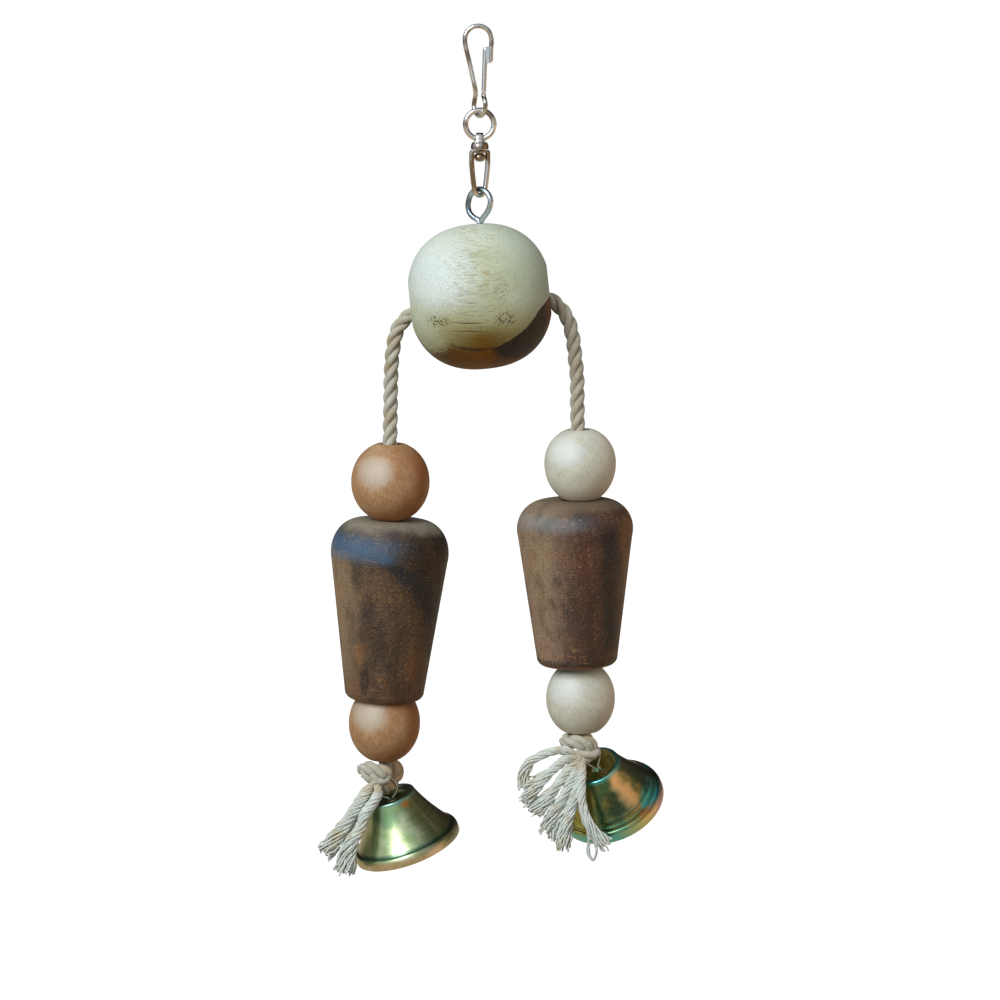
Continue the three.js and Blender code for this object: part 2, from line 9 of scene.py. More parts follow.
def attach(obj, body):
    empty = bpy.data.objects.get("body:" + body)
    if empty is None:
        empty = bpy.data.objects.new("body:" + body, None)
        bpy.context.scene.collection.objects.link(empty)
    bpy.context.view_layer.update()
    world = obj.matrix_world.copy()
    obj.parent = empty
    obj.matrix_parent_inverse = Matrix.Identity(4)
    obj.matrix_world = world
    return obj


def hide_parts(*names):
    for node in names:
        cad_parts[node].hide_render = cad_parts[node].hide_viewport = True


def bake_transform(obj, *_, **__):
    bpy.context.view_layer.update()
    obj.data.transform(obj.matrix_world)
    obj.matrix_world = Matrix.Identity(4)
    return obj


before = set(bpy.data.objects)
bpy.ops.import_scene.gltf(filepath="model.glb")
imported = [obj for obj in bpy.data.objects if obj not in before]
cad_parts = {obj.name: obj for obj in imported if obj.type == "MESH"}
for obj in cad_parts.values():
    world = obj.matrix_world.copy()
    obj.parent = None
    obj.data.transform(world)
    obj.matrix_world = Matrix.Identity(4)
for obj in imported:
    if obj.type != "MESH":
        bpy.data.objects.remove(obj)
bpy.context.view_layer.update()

# The room: a pale floor far below the hanging toy, daylight from the upper left, a weaker warm
# bounce from the right, and a white surround. The camera stands level with the hook and looks
# a little down, as the photograph does.
scene = bpy.context.scene
scene.view_settings.view_transform = "Standard"
MM = 0.001


class Value:
    """An output socket of a node tree. Arithmetic on it adds Math nodes."""

    def __init__(self, tree, socket):
        self.tree = tree
        self.socket = socket

    def math(self, operation, other=0.0, turned=False):
        first, second = (other, self) if turned else (self, other)
        return self.tree.add("ShaderNodeMath", {0: first, 1: second}, operation=operation)

    def __add__(self, other):
        return self.math("ADD", other)

    __radd__ = __add__

    def __sub__(self, other):
        return self.math("SUBTRACT", other)

    def __rsub__(self, other):
        return self.math("SUBTRACT", other, True)

    def __mul__(self, other):
        return self.math("MULTIPLY", other)

    __rmul__ = __mul__

    def __truediv__(self, other):
        return self.math("DIVIDE", other)

    def __rtruediv__(self, other):
        return self.math("DIVIDE", other, True)

    def __pow__(self, other):
        return self.math("POWER", other)

    def rise(self, low, high):
        """0 up to low and 1 from high on; it falls instead where low is the larger."""
        sockets = {"Value": self, "From Min": low, "From Max": high}
        return self.tree.add("ShaderNodeMapRange", sockets, interpolation_type="SMOOTHSTEP")

    def bump(self, centre, width):
        """1 at the centre, falling to 0 at width on either side."""
        return (self - centre).math("ABSOLUTE").rise(width, 0.0)

    def most(self, *others):
        """The largest of some values at each place."""
        largest = self
        for other in others:
            largest = largest.math("MAXIMUM", other)
        return largest


class Tree:
    """A node tree that is written as expressions."""

    def __init__(self, tree):
        self.tree = tree

    def add(self, kind, sockets=None, output=0, **settings):
        """A new node with its settings and its sockets' values or links, and one output of it."""
        node = self.tree.nodes.new(kind)
        for name, value in settings.items():
            setattr(node, name, value)
        for name, value in (sockets or {}).items():
            if isinstance(value, Value):
                self.tree.links.new(value.socket, node.inputs[name])
            else:
                node.inputs[name].default_value = value
        return Value(self, node.outputs[output])

    def vector(self, operation, *terms):
        return self.add("ShaderNodeVectorMath", dict(enumerate(terms)), operation=operation)

    def scale(self, vector, amount):
        return self.add("ShaderNodeVectorMath", {0: vector, "Scale": amount}, operation="SCALE")

    def length(self, vector):
        return self.add("ShaderNodeVectorMath", {0: vector}, "Value", operation="LENGTH")

    def split(self, vector):
        parts = self.add("ShaderNodeSeparateXYZ", {0: vector}).socket.node.outputs
        return [Value(self, part) for part in parts]

    def mix(self, share, first, second):
        """A colour between two others, which are values or written codes."""
        first, second = [tint(colour) if isinstance(colour, str) else colour for colour in (first, second)]
        return self.add("ShaderNodeMix", {0: share, 6: first, 7: second}, 2, data_type="RGBA")

    def over(self, colour, *layers):
        """A colour with layers of others on it, each laid on by its own share."""
        for share, layer in layers:
            colour = self.mix(share, colour, layer)
        return colour

    def cloud(self, at, size, stretch=(1, 1, 1), detail=2.0, seed=0.0):
        """Soft noise whose blots are about size across, drawn out along an axis by stretch."""
        spread = [1 / (size * amount) for amount in stretch]
        moved = self.vector("MULTIPLY_ADD", at, spread, [seed, 0.7 * seed, 0.3 * seed])
        sockets = {"Vector": moved, "Scale": 1.0, "Detail": detail, "Roughness": 0.55}
        return self.add("ShaderNodeTexNoise", sockets, "Fac")


class Finish(Tree):
    """A material for one of the toy's surfaces. Fixed numbers go straight to its shader."""

    def __init__(self, name, **fixed):
        self.material = bpy.data.materials.new(name)
        self.material.use_nodes = True
        super().__init__(self.material.node_tree)
        self.shader = self.tree.nodes["Principled BSDF"]
        for socket, value in fixed.items():
            self.shader.inputs[socket.replace("_", " ")].default_value = value

    def attribute(self, name, output="Vector"):
        return self.add("ShaderNodeAttribute", output=output, attribute_name=name)

    def millimetres(self):
        return self.scale(self.add("ShaderNodeTexCoord", output="Object"), 1 / MM)

    def show(self, relief=None, depth=0.0, **varying):
        for socket, value in varying.items():
            self.tree.links.new(value.socket, self.shader.inputs[socket.replace("_", " ")])
        if relief is not None:
            sockets = {"Height": relief, "Distance": depth * MM, "Strength": 1.0}
            bumped = self.add("ShaderNodeBump", sockets)
            self.tree.links.new(bumped.socket, self.shader.inputs["Normal"])
        return self.material


def tint(code):
    """A colour written as six hexadecimal digits, in the shader's own linear numbers."""
    parts = [int(code[i:i + 2], 16) / 255 for i in (0, 2, 4)]
    return [c / 12.92 if c < 0.04045 else ((c + 0.055) / 1.055) ** 2.4 for c in parts] + [1.0]


floor_drop = -0.62
floor_reach = 8.0
floor_mesh = bpy.data.meshes.new("floor")
corners = [(x * floor_reach, y * floor_reach, floor_drop) for x, y in ((-1, -1), (1, -1), (1, 1), (-1, 1))]
floor_mesh.from_pydata(corners, [], [(0, 1, 2, 3)])
floor = bpy.data.objects.new("floor", floor_mesh)
scene.collection.objects.link(floor)
pale = Finish("pale_floor", Roughness=0.8, Emission_Strength=1.0)
floor_at = pale.add("ShaderNodeTexCoord", output="Object")
floor_away = pale.length(floor_at)
floor_glow = 0.22 + 0.6 * floor_away.rise(0.66, 0.9)
floor_seen = pale.add("ShaderNodeLightPath", output="Is Camera Ray")
floor_mirrored = pale.add("ShaderNodeLightPath", output="Is Glossy Ray")
floor_light = pale.mix(floor_mirrored, "000000", "b8a68c")
floor_white = pale.add("ShaderNodeCombineColor", {0: floor_glow, 1: floor_glow, 2: floor_glow})
floor_light = pale.mix(floor_seen, floor_light, floor_white)
floor_colour = pale.mix(floor_seen, "66503a", "e8e8e6")
floor_mesh.materials.append(pale.show(Base_Color=floor_colour, Emission_Color=floor_light))

world = bpy.data.worlds.new("surround")
scene.world = world
world.use_nodes = True
sky = Tree(world.node_tree)
toward = sky.split(sky.add("ShaderNodeTexCoord", output="Generated"))
lit_side = (0.45 * toward[2] - 0.5 * toward[0] - 0.72 * toward[1]).rise(0.1, 0.9)
beneath = toward[2].rise(-0.25, -0.8)
mirror_tint = sky.over(
    sky.mix(0.35 * toward[0].rise(0.35, 0.9), "38302a", "c9bda6"),
    (lit_side, "e6edf2"),
    (0.7 * beneath, "d2c2a6"),
)
ray_kinds = ("Camera", "Glossy", "Transmission")
ray = {kind: sky.add("ShaderNodeLightPath", output=f"Is {kind} Ray") for kind in ray_kinds}
ambient = sky.mix(ray["Glossy"], "9ba1a7", mirror_tint)
surround = sky.mix(ray["Camera"].most(ray["Transmission"]), ambient, "ffffff")
sky.tree.links.new(surround.socket, world.node_tree.nodes["Background"].inputs["Color"])

toy_middle = Vector((0.0086, 0, -0.187))


def facing(place, target):
    """How a lamp or the camera at a place is turned to face a target."""
    return (target - Vector(place)).to_track_quat("-Z", "Y").to_euler()


def lamp(name, place, size, power, colour):
    light = bpy.data.lights.new(name, "AREA")
    light.shape = "RECTANGLE"
    light.size, light.size_y = size
    light.energy = power
    light.color = tint(colour)[:3]
    holder = bpy.data.objects.new(name, light)
    scene.collection.objects.link(holder)
    holder.location = place
    holder.rotation_euler = facing(place, toy_middle)


lamp("window", (-0.85, -1.15, 0.75), (0.7, 1.0), 19.5, "fbfdff")
lamp("warm_bounce", (1.25, -0.35, -0.35), (1.6, 1.8), 3.4, "ffc894")

lens_length = 127.1
camera_place = (0.0086, -1.4, 0)
camera_target = Vector((0.0086, 0, -0.1871))
lens = bpy.data.cameras.new("photograph")
lens.lens = lens_length
lens.sensor_width = 36
lens.clip_start = 0.05
camera = bpy.data.objects.new("photograph", lens)
scene.collection.objects.link(camera)
camera.location = camera_place
camera.rotation_euler = facing(camera_place, camera_target)
scene.camera = camera

# Snap hook: one length of nickel-plated spring wire, bent round a bow at the top, down the back
# and round an eye at the base. Its nose ends in a flattened lip that the gate closes behind.
fit = 0.3
chain_x = 0.6
hook_wire = 1.8
bow_radius = 5.2
bow_z = hook_wire / 2 - bow_radius
throat_depth = 25.2
throat_half = 1.6
hook_eye_radius = 4.2
hook_eye_z = -30.1
hook_eye_turn = math.radians(-57)
nose = (4.9, 0, -12.9)
gate_foot = Vector((2.2, 0, -24.9))
gate_tip = Vector((2.8, 0, -7.3))
gate_run = (gate_tip - gate_foot).normalized()


def arc(radius, degrees, middle=(0, 0)):
    """Points of a circle at some angles in degrees."""
    return [(middle[0] + radius * math.cos(a), middle[1] + radius * math.sin(a)) for a in np.radians(degrees)]


def in_plane(pairs):
    """Points of an upright plane from their places across and up."""
    return [(x, 0, z) for x, z in pairs]


def about(axis, degrees):
    return Matrix.Rotation(math.radians(degrees), 4, axis)


def placed(place, points):
    return [place @ Vector(point) for point in points]


def spline(points, step, closed=False):
    """Even steps, in millimetres, along the smooth centripetal curve through some points."""
    knots = [np.array(point, float) for point in points]
    if closed:
        knots = [knots[-1]] + knots + knots[:2]
    else:
        knots = [2 * knots[0] - knots[1]] + knots + [2 * knots[-1] - knots[-2]]
    fine = []
    for before, first, second, after in zip(knots, knots[1:], knots[2:], knots[3:]):
        pairs = ((before, first), (first, second), (second, after))
        near, gap, far = [math.sqrt(np.linalg.norm(b - a)) for a, b in pairs]
        straight = (second - first) / gap
        slope_in = (first - before) / near - (second - before) / (near + gap) + straight
        slope_out = straight - (after - first) / (gap + far) + (after - second) / far
        for t in np.linspace(0, 1, 40, endpoint=False):
            bend = (2 * t - 3) * t * t
            swing = slope_in * (1 - t) - slope_out * t
            fine.append(first * (1 + bend) - second * bend + gap * t * (1 - t) * swing)
    fine.append(knots[-2])
    fine = np.array(fine)
    run = np.concatenate([[0], np.cumsum(np.linalg.norm(np.diff(fine, axis=0), axis=1))])
    count = max(3, round(run[-1] / step))
    marks = np.linspace(0, run[-1], count + 1)[:count if closed else None]
    return np.stack([np.interp(marks, run, fine[:, axis]) for axis in range(3)], axis=1)


def group_tree(name, inputs):
    """An empty geometry tree with named inputs, and its inputs as values."""
    group = bpy.data.node_groups.new(name, "GeometryNodeTree")
    for label, kind in inputs.items():
        group.interface.new_socket(name=label, in_out="INPUT", socket_type="NodeSocket" + kind)
    group.interface.new_socket(name="Made", in_out="OUTPUT", socket_type="NodeSocketGeometry")
    tree = Tree(group)
    entry = group.nodes.new("NodeGroupInput")
    return tree, {label: Value(tree, entry.outputs[label]) for label in inputs}


def end_tree(tree, made, material):
    smooth = tree.add("GeometryNodeSetShadeSmooth", {0: made})
    whole = tree.add("GeometryNodeRealizeInstances", {0: smooth})
    painted = tree.add("GeometryNodeSetMaterial", {"Geometry": whole, "Material": material})
    way_out = tree.tree.nodes.new("NodeGroupOutput")
    tree.tree.links.new(painted.socket, way_out.inputs[0])
    return tree.tree


def swept(tree, curve, radius, sides, relief=None):
    """A round section swept along curves, which keeps how far along and how far round it is."""
    circle = tree.add("GeometryNodeCurvePrimitiveCircle", {"Resolution": sides, "Radius": radius})
    round_share = tree.add("GeometryNodeSplineParameter", output="Factor")
    if relief is not None:
        yarns, depth = relief
        swell = depth * (round_share * yarns * math.tau).math("COSINE")
        outward = tree.scale(tree.add("GeometryNodeInputPosition"), swell)
        circle = tree.add("GeometryNodeSetPosition", {"Geometry": circle, "Offset": outward})
    heading = tree.vector("NORMALIZE", tree.add("GeometryNodeInputPosition"))
    around = {"Geometry": circle, "Name": "round", "Value": heading}
    circle = tree.add("GeometryNodeStoreNamedAttribute", around, data_type="FLOAT_VECTOR", domain="POINT")
    run = tree.add("GeometryNodeSplineParameter", output="Length")
    along = {"Geometry": curve, "Name": "along", "Value": run}
    curve = tree.add("GeometryNodeStoreNamedAttribute", along, data_type="FLOAT", domain="POINT")
    girth = tree.add("GeometryNodeInputNamedAttribute", {"Name": "girth"}, data_type="FLOAT")
    sockets = {"Curve": curve, "Profile Curve": circle, "Scale": girth, "Fill Caps": True}
    return tree.add("GeometryNodeCurveToMesh", sockets)


def sideways(tree, turn, reach):
    """The step from a curve's line to a point reach away from it, at an angle round it."""
    normal = tree.add("GeometryNodeInputNormal")
    across = tree.vector("CROSS_PRODUCT", tree.add("GeometryNodeInputTangent"), normal)
    first = tree.scale(normal, turn.math("COSINE") * reach)
    return tree.vector("ADD", first, tree.scale(across, turn.math("SINE") * reach))


def copied_line(tree, path, amount):
    """Copies of a path as curves, each copy's number, and how far along it each point is."""
    line = tree.add("GeometryNodeMeshToCurve", {"Mesh": path})
    copies = tree.add("GeometryNodeDuplicateElements", {"Geometry": line, "Amount": amount}, domain="SPLINE")
    which = Value(tree, copies.socket.node.outputs["Duplicate Index"])
    return copies, which, tree.add("GeometryNodeSplineParameter", output="Length")


def laid_tree():
    inputs = {"Path": "Geometry", "Strands": "Int", "Lay Radius": "Float", "Lay Length": "Float",
              "Radius": "Float", "Sides": "Int", "Yarns": "Int", "Yarn Depth": "Float",
              "Yarn Turn": "Float", "Finish": "Material"}
    tree, given = group_tree("laid_strands", inputs)
    copies, which, run = copied_line(tree, given["Path"], given["Strands"])
    turn = (which / given["Strands"] + run / given["Lay Length"]) * math.tau
    step = sideways(tree, turn, given["Lay Radius"])
    strands = tree.add("GeometryNodeSetPosition", {"Geometry": copies, "Offset": step})
    roll = run / given["Yarn Turn"] * math.tau
    strands = tree.add("GeometryNodeSetCurveTilt", {"Curve": strands, "Tilt": roll})
    made = swept(tree, strands, given["Radius"], given["Sides"], (given["Yarns"], given["Yarn Depth"]))
    return end_tree(tree, made, given["Finish"])


laid_strands = laid_tree()


def settle(piece):
    """Turns a piece into the plain mesh that its modifiers make."""
    graph = bpy.context.evaluated_depsgraph_get()
    made = piece.evaluated_get(graph)
    mesh = bpy.data.meshes.new_from_object(made, preserve_all_data_layers=True, depsgraph=graph)
    piece.modifiers.clear()
    piece.data = mesh
    mesh.name = piece.name
    return piece


def grown(name, points, tree, closed=False, girth=None, **inputs):
    """A piece that a geometry tree grows along a line of points in millimetres."""
    line = bpy.data.meshes.new(name)
    last = len(points)
    edges = [(i, (i + 1) % last) for i in range(last if closed else last - 1)]
    line.from_pydata([Vector(point) * MM for point in points], edges, [])
    sizes = line.attributes.new("girth", "FLOAT", "POINT")
    sizes.data.foreach_set("value", np.ones(last) if girth is None else girth)
    piece = bpy.data.objects.new(name, line)
    scene.collection.objects.link(piece)
    modifier = piece.modifiers.new("grown", "NODES")
    modifier.node_group = tree
    keys = {item.name: item.identifier for item in tree.interface.items_tree}
    for label, value in inputs.items():
        modifier[keys[label.replace("_", " ")]] = value
    return settle(piece)


def wire(name, points, diameter, material, sides=16, closed=False, girth=None):
    """Plain round wire along a line of points."""
    return grown(name, points, laid_strands, closed, girth, Strands=1, Lay_Radius=0.0, Lay_Length=1.0,
                 Radius=diameter / 2 * MM, Sides=sides, Yarns=1, Yarn_Depth=0.0, Yarn_Turn=1.0,
                 Finish=material)


def fuse(piece, other, operation="UNION"):
    """Joins another mesh to a piece, or cuts it out of the piece, and drops the other."""
    modifier = piece.modifiers.new("fuse", "BOOLEAN")
    modifier.operation = operation
    modifier.solver = "EXACT"
    modifier.object = other
    settle(piece)
    bpy.data.objects.remove(other)
    return piece


def mesh_piece(name, vertices, faces, material, smooth_angle=35):
    """A closed mesh from points in millimetres, with its faces turned outward."""
    mesh = bpy.data.meshes.new(name)
    mesh.from_pydata([Vector(v) * MM for v in vertices], [], faces)
    shape = bmesh.new()
    shape.from_mesh(mesh)
    bmesh.ops.recalc_face_normals(shape, faces=shape.faces)
    shape.to_mesh(mesh)
    shape.free()
    mesh.materials.append(material)
    mesh.shade_smooth()
    mesh.set_sharp_from_angle(angle=math.radians(smooth_angle))
    piece = bpy.data.objects.new(name, mesh)
    scene.collection.objects.link(piece)
    return piece


def slab(name, outline, low, high, bevel, material, place=Matrix.Identity(4)):
    """A flat bar with softened edges: an outline in X and Y, from one height to another."""
    count = len(outline)
    ring = np.array(outline, float)
    middle = ring.mean(axis=0)
    inner = middle + (ring - middle) * (1 - bevel / np.abs(ring - middle).max())
    layers = [(inner, low), (ring, low + bevel), (ring, high - bevel), (inner, high)]
    vertices = [place @ Vector((x, y, z)) for shape, z in layers for x, y in shape]
    faces = [[row + i, row + (i + 1) % count, row + count + (i + 1) % count, row + count + i]
             for row in (0, count, 2 * count) for i in range(count)]
    faces += [list(range(count))[::-1], list(range(3 * count, 4 * count))]
    return mesh_piece(name, vertices, faces, material)


def nickel(name, shade, tarnish_and_dark_reflection, roughness):
    """Bright plated metal with fine scratches and brown patches, partly tarnish and partly a painted dark
    reflection.
    """
    finish = Finish(name, Metallic=1.0)
    at = finish.millimetres()
    tarnish_and_reflection_patch = finish.cloud(at, 7.0, detail=1.5)
    scratch = finish.cloud(at, 0.3, stretch=(1, 1, 6), seed=4.0)
    # The darker patches are partly tarnish and partly painted dark reflection.
    colour = finish.mix(0.85 * tarnish_and_reflection_patch.rise(0.46, 0.62), shade, tarnish_and_dark_reflection)
    rough = roughness + 0.12 * tarnish_and_reflection_patch.rise(0.45, 0.75) + 0.06 * scratch.rise(0.55, 0.7)
    return finish.show(relief=scratch, depth=0.01, Base_Color=colour, Roughness=rough)


def join(piece, body, slot, *nodes):
    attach(piece, body)
    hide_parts(*nodes)


bright_wire = nickel("nickel_wire", "d6d7d7", "7d7063", 0.1)
bow = in_plane(arc(bow_radius, range(0, 181, 36), (0, bow_z)))
eye_turns = arc(hook_eye_radius, [150, 185, 220, 255, 290, 325, 360, 385])
eye_across, eye_back = math.cos(hook_eye_turn), math.sin(hook_eye_turn)
hook_eye = [(chain_x + x * eye_across, x * eye_back, hook_eye_z + z) for x, z in eye_turns]
hook_points = [nose, (5.05, 0, -8.6), *bow, (-3.1, 0, -14.75), (chain_x - throat_half, 0, -throat_depth),
               *hook_eye, gate_foot - 1.6 * gate_run, gate_foot - fit * gate_run]
hook = wire("snap_hook_wire", spline(hook_points, 0.4), hook_wire, bright_wire, sides=18)
lip_half = 0.75
lip_x = nose[0] - hook_wire / 2 - fit
lip_outline = arc(lip_half, range(180, 361, 15), (lip_x, nose[2]))
lip_outline += arc(lip_half, range(0, 181, 15), (lip_x, gate_tip.z - lip_half))
front_of_wire = Matrix.Translation((0, -hook_wire / 2 - fit, 0)) @ about("X", 90)
lip = slab("nose_lip", lip_outline, 0.0, 0.7, 0.18, bright_wire, front_of_wire)
turn_right, turn_left = nose[0] + 0.45, lip_x - 0.4
turn_low, turn_high = nose[2] - 0.6, nose[2] + 0.6
turn_outline = [(turn_right, turn_low), (turn_right, turn_high), (turn_left, turn_high), (turn_left, turn_low)]
nose_turn = slab("nose_turn", turn_outline, -0.9, 0.66, 0.15, bright_wire, front_of_wire)
fuse(hook, fuse(lip, nose_turn))
join(hook, "hook", "nickel_wire", "snap_hook")

# Snap gate: the sprung end of the same wire, straight from the eye up behind the nose's lip.
# A thumb presses it inward and its own spring closes it again.
gate_steps = 40
gate_line = [gate_foot + (gate_tip - gate_foot) * t for t in np.linspace(0, 1, gate_steps)]
gate_girth = np.ones(gate_steps)
gate_girth[-3:] = [0.97, 0.88, 0.66]
gate = wire("snap_gate_wire", gate_line, hook_wire, bright_wire, sides=18, girth=gate_girth)
join(gate, "gate", "nickel_wire", "snap_gate")

# Connecting ring: a bent and closed ring of the same plated wire, loose in the hook's eye and
# in the swivel's lug.
ring_radius = 5.6
ring_z = -37.65
ring_wire = 2.1
ring_line = in_plane(arc(ring_radius, range(0, 360, 5), (chain_x, ring_z)))
ring = wire("connecting_ring_wire", ring_line, ring_wire, bright_wire, sides=18, closed=True)
join(ring, "ring", "nickel_wire", "connecting_ring")

# Swivel eye: a cast and plated dome with a drilled lug on top. Its shank goes through the bail's
# plate and is riveted over below it, so that it turns freely.
swivel_place = Matrix.Translation((chain_x, 0, -43.25))
lug_hole = 1.6
lug_radius = 2.4
lug_half = 1.4
cap_radius = 3.5
cap_height = 3.7
cap_foot = -4.25
cap_band = 0.9
rivet_radius = 2.3
rivet_top = -5.85
rivet_foot = -9.05
shank_radius = 1.2


def turned(name, profile, segments, place, material, smooth_angle=35, closed=False):
    """A shape turned about its own Z axis from radius and height pairs in millimetres."""
    vertices, rows = [], []
    for radius, height in profile:
        if radius < 1e-6:
            rows.append([len(vertices)] * segments)
            vertices.append(place @ Vector((0, 0, height)))
            continue
        rows.append(list(range(len(vertices), len(vertices) + segments)))
        for k in range(segments):
            a = math.tau * k / segments
            vertices.append(place @ Vector((radius * math.cos(a), radius * math.sin(a), height)))
    faces = []
    for lower, upper in zip(rows, rows[1:] + rows[:1] if closed else rows[1:]):
        for k in range(segments):
            after = (k + 1) % segments
            face = list(dict.fromkeys([lower[k], lower[after], upper[after], upper[k]]))
            if len(face) > 2:
                faces.append(face)
    return mesh_piece(name, vertices, faces, material, smooth_angle)


def own_marks(piece, place):
    """Keeps each point's place on the piece itself, in millimetres, for the material to read."""
    back = place.inverted()
    marks = piece.data.attributes.get("own") or piece.data.attributes.new("own", "FLOAT_VECTOR", "POINT")
    marks.data.foreach_set("vector", np.array([back @ (v.co / MM) for v in piece.data.vertices]).ravel())
    return piece


cast_metal = nickel("nickel_cast", "cfccc6", "7d6a52", 0.12)
dome = [(cap_radius * (1 - u ** 2.4) ** 0.42, cap_foot + cap_band + (cap_height - cap_band) * u)
        for u in np.sin(np.radians(np.arange(5, 91, 5)))]
rivet_rises = [(0, 0), (0.45, 0.08), (0.75, 0.45), (0.95, 1.1), (1, 1.6)]
rivet_head = [(share * rivet_radius, rivet_foot + rise) for share, rise in rivet_rises]
cap_profile = [*rivet_head, (0.95 * rivet_radius, rivet_top - 0.8), (0.72 * rivet_radius, rivet_top),
               (shank_radius, rivet_top), (shank_radius, cap_foot), (0.93 * cap_radius, cap_foot),
               (cap_radius, cap_foot + 0.3), *dome]
swivel = turned("swivel_eye_cast", cap_profile, 48, swivel_place, cast_metal)
lug_outline = [*arc(lug_radius, range(0, 181, 10)), (-lug_radius, -lug_radius), (lug_radius, -lug_radius)]
across_lug = swivel_place @ about("Z", 90) @ about("X", 90)
lug = slab("swivel_lug", lug_outline, -lug_half, lug_half, 0.35, cast_metal, across_lug)
all_round = np.linspace(0, 360, 32, endpoint=False)
lug_bore = slab("lug_bore", arc(lug_hole, all_round), -9, 9, 0.01, cast_metal, across_lug)
fuse(fuse(swivel, lug), lug_bore, "DIFFERENCE")
join(swivel, "swivel_eye", "nickel_cast", "swivel_eye")

# Swivel bail: a pressed plate on the swivel's shank with a V loop of wire under it, cast in one
# and plated. The screw eye hangs in the bend of its loop.
bail_place = Matrix.Translation((chain_x, 0, -48.3)) @ about("Z", 35)
bail_half = 3.8
bail_wire = 2.0
bail_knee_z = -5.2
bail_bend = 2.6
bail_bend_z = -14.6
plate_length = 4.4
plate_depth = 2.6
bail_leg = [(bail_half, 0), (bail_half, bail_knee_z), (bail_bend, bail_bend_z)]
bail_arc = arc(bail_bend, range(210, 331, 30), (0, bail_bend_z))
bail_points = in_plane([*[(-x, z) for x, z in bail_leg], *bail_arc, *reversed(bail_leg)])
bail_line = placed(bail_place, spline(bail_points, 0.5))
bail = wire("swivel_bail_cast", bail_line, bail_wire, cast_metal, sides=18)
plate_outline = [(plate_length * x, plate_depth * y) for x, y in arc(1, range(0, 360, 8))]
plate = slab("bail_plate", plate_outline, -0.5, 0.5, 0.2, cast_metal, bail_place)
shank_hole = slab("shank_hole", arc(shank_radius + fit, all_round), -3, 3, 0.01, cast_metal, bail_place)
fuse(fuse(bail, plate), shank_hole, "DIFFERENCE")
join(bail, "bail", "nickel_cast", "swivel_bail")

# Screw eye: zinc-plated steel wire bent to a loop, with a tapered screw driven into the top of
# the ball.
screw_wire = 2.2
screw_radius = 5.3
neck_z = -8.35
screw_depth = 17.6
screw_place = Matrix.Translation((chain_x, 0, -68.4)) @ about("Z", -35)
zinc = nickel("zinc_screw", "b9cdd9", "5f7280", 0.16)
screw_shank = [(0, neck_z - screw_depth), (0, neck_z - 7.5), (0, neck_z)]
screw_rise = [(-0.7, -7.0), (-2.8, -6.0), (-4.8, -4.3), (-5.7, -1.8)]
screw_loop = arc(screw_radius, range(165, 14, -25))
screw_return = [(5.0, -1.0), (3.9, -3.3), (2.6, -4.9), (1.5, -6.1), (0.5, -7.6)]
screw_line = spline(in_plane([*screw_shank, *screw_rise, *screw_loop, *screw_return]), 0.35)
screw_girth = np.clip((screw_line[:, 2] - (neck_z - screw_depth - 0.3)) / 3.0, 0.08, 1)
screw_line = placed(screw_place, screw_line)
screw_eye = wire("screw_eye_wire", screw_line, screw_wire, zinc, sides=18, girth=screw_girth)
join(screw_eye, "ball", "zinc_screw", "screw_eye")

# Wooden ball: turned from a pale branch about its bore, with the mouths rounded for the rope. The
# sapwood is bare and sanded, and the darker heart of the branch shows low on the right and behind.
ball_middle = Vector((chain_x, 0, -105.6))
ball_radius = 28.85
ball_half_length = 28.6
ball_power = 2 / 2.34
bore_radius = 6.0
mouth_radius = 5.5
mouth_depth = 5.2
bore_tilt = math.radians(6)
ball_place = Matrix.Translation(ball_middle)
bore_place = ball_place @ Matrix.Rotation(math.pi / 2 - bore_tilt, 4, "Y")


def mouth_width(depth):
    """How wide the bore's rounded mouth is, by the depth from its inner end."""
    return bore_radius + mouth_radius - math.sqrt(mouth_radius ** 2 - depth ** 2)


def ball_point(angle):
    along = ball_half_length * abs(math.sin(angle)) ** ball_power
    return ball_radius * math.cos(angle) ** ball_power, math.copysign(along, angle)


ball_sweep = math.acos((mouth_width(mouth_depth) / ball_radius) ** (1 / ball_power))
ball_end = ball_point(ball_sweep)[1]
ball_skin = [ball_point(angle) for angle in np.linspace(-ball_sweep, ball_sweep, 65)]
mouth_steps = [mouth_depth * share for share in (0.95, 0.88, 0.78, 0.66, 0.52, 0.36, 0.18, 0)]
mouth = [(mouth_width(depth), ball_end - mouth_depth + depth) for depth in mouth_steps]
bore_side = [(bore_radius, z) for z in np.linspace(mouth[-1][1], -mouth[-1][1], 12)[1:-1]]
ball_profile = [*ball_skin, *mouth, *bore_side, *[(r, -z) for r, z in reversed(mouth)]]


def oval(x, z, centre, reach, edge=0.0):
    """1 inside an oval on the front of a piece, falling to 0 at its outline."""
    across, up = (x - centre[0]) / reach[0], (z - centre[1]) / reach[1]
    return (across * across + up * up).rise(1.0, edge)


pale_wood = Finish("pale_wood", Specular_IOR_Level=0.3)
at = pale_wood.attribute("own")
x, y, z = pale_wood.split(at)
sway = pale_wood.cloud(at, 8.0, detail=3.0, seed=5.0) - 0.5
blot = pale_wood.cloud(at, 13.0, stretch=(1.4, 1, 1), detail=3.0)
mottle = pale_wood.cloud(at, 0.8, detail=3.0, seed=3.0)
fibre = pale_wood.cloud(at, 0.75, stretch=(6, 1, 0.6), detail=2.0, seed=13.0)
dash = pale_wood.cloud(at, 1.1, stretch=(5, 1, 0.32), detail=1.0, seed=9.0)
pinhole = pale_wood.cloud(at, 0.9, detail=1.0, seed=21.0)
wave = pale_wood.cloud(at, 15.0, detail=0.6, seed=41.0) - 0.5
heart_stripe = pale_wood.cloud(at, 1.2, stretch=(1, 1, 8), detail=2.0, seed=31.0)
lower = 5 * sway - z + 6 * (mottle - 0.5)
deep = lower + 5 * (mottle - 0.5) + 0.4 * (x + 10).math("MINIMUM", 0.0)
golden = pale_wood.mix((x + 8 * sway).bump(1, 17), "5a3906", "966000")
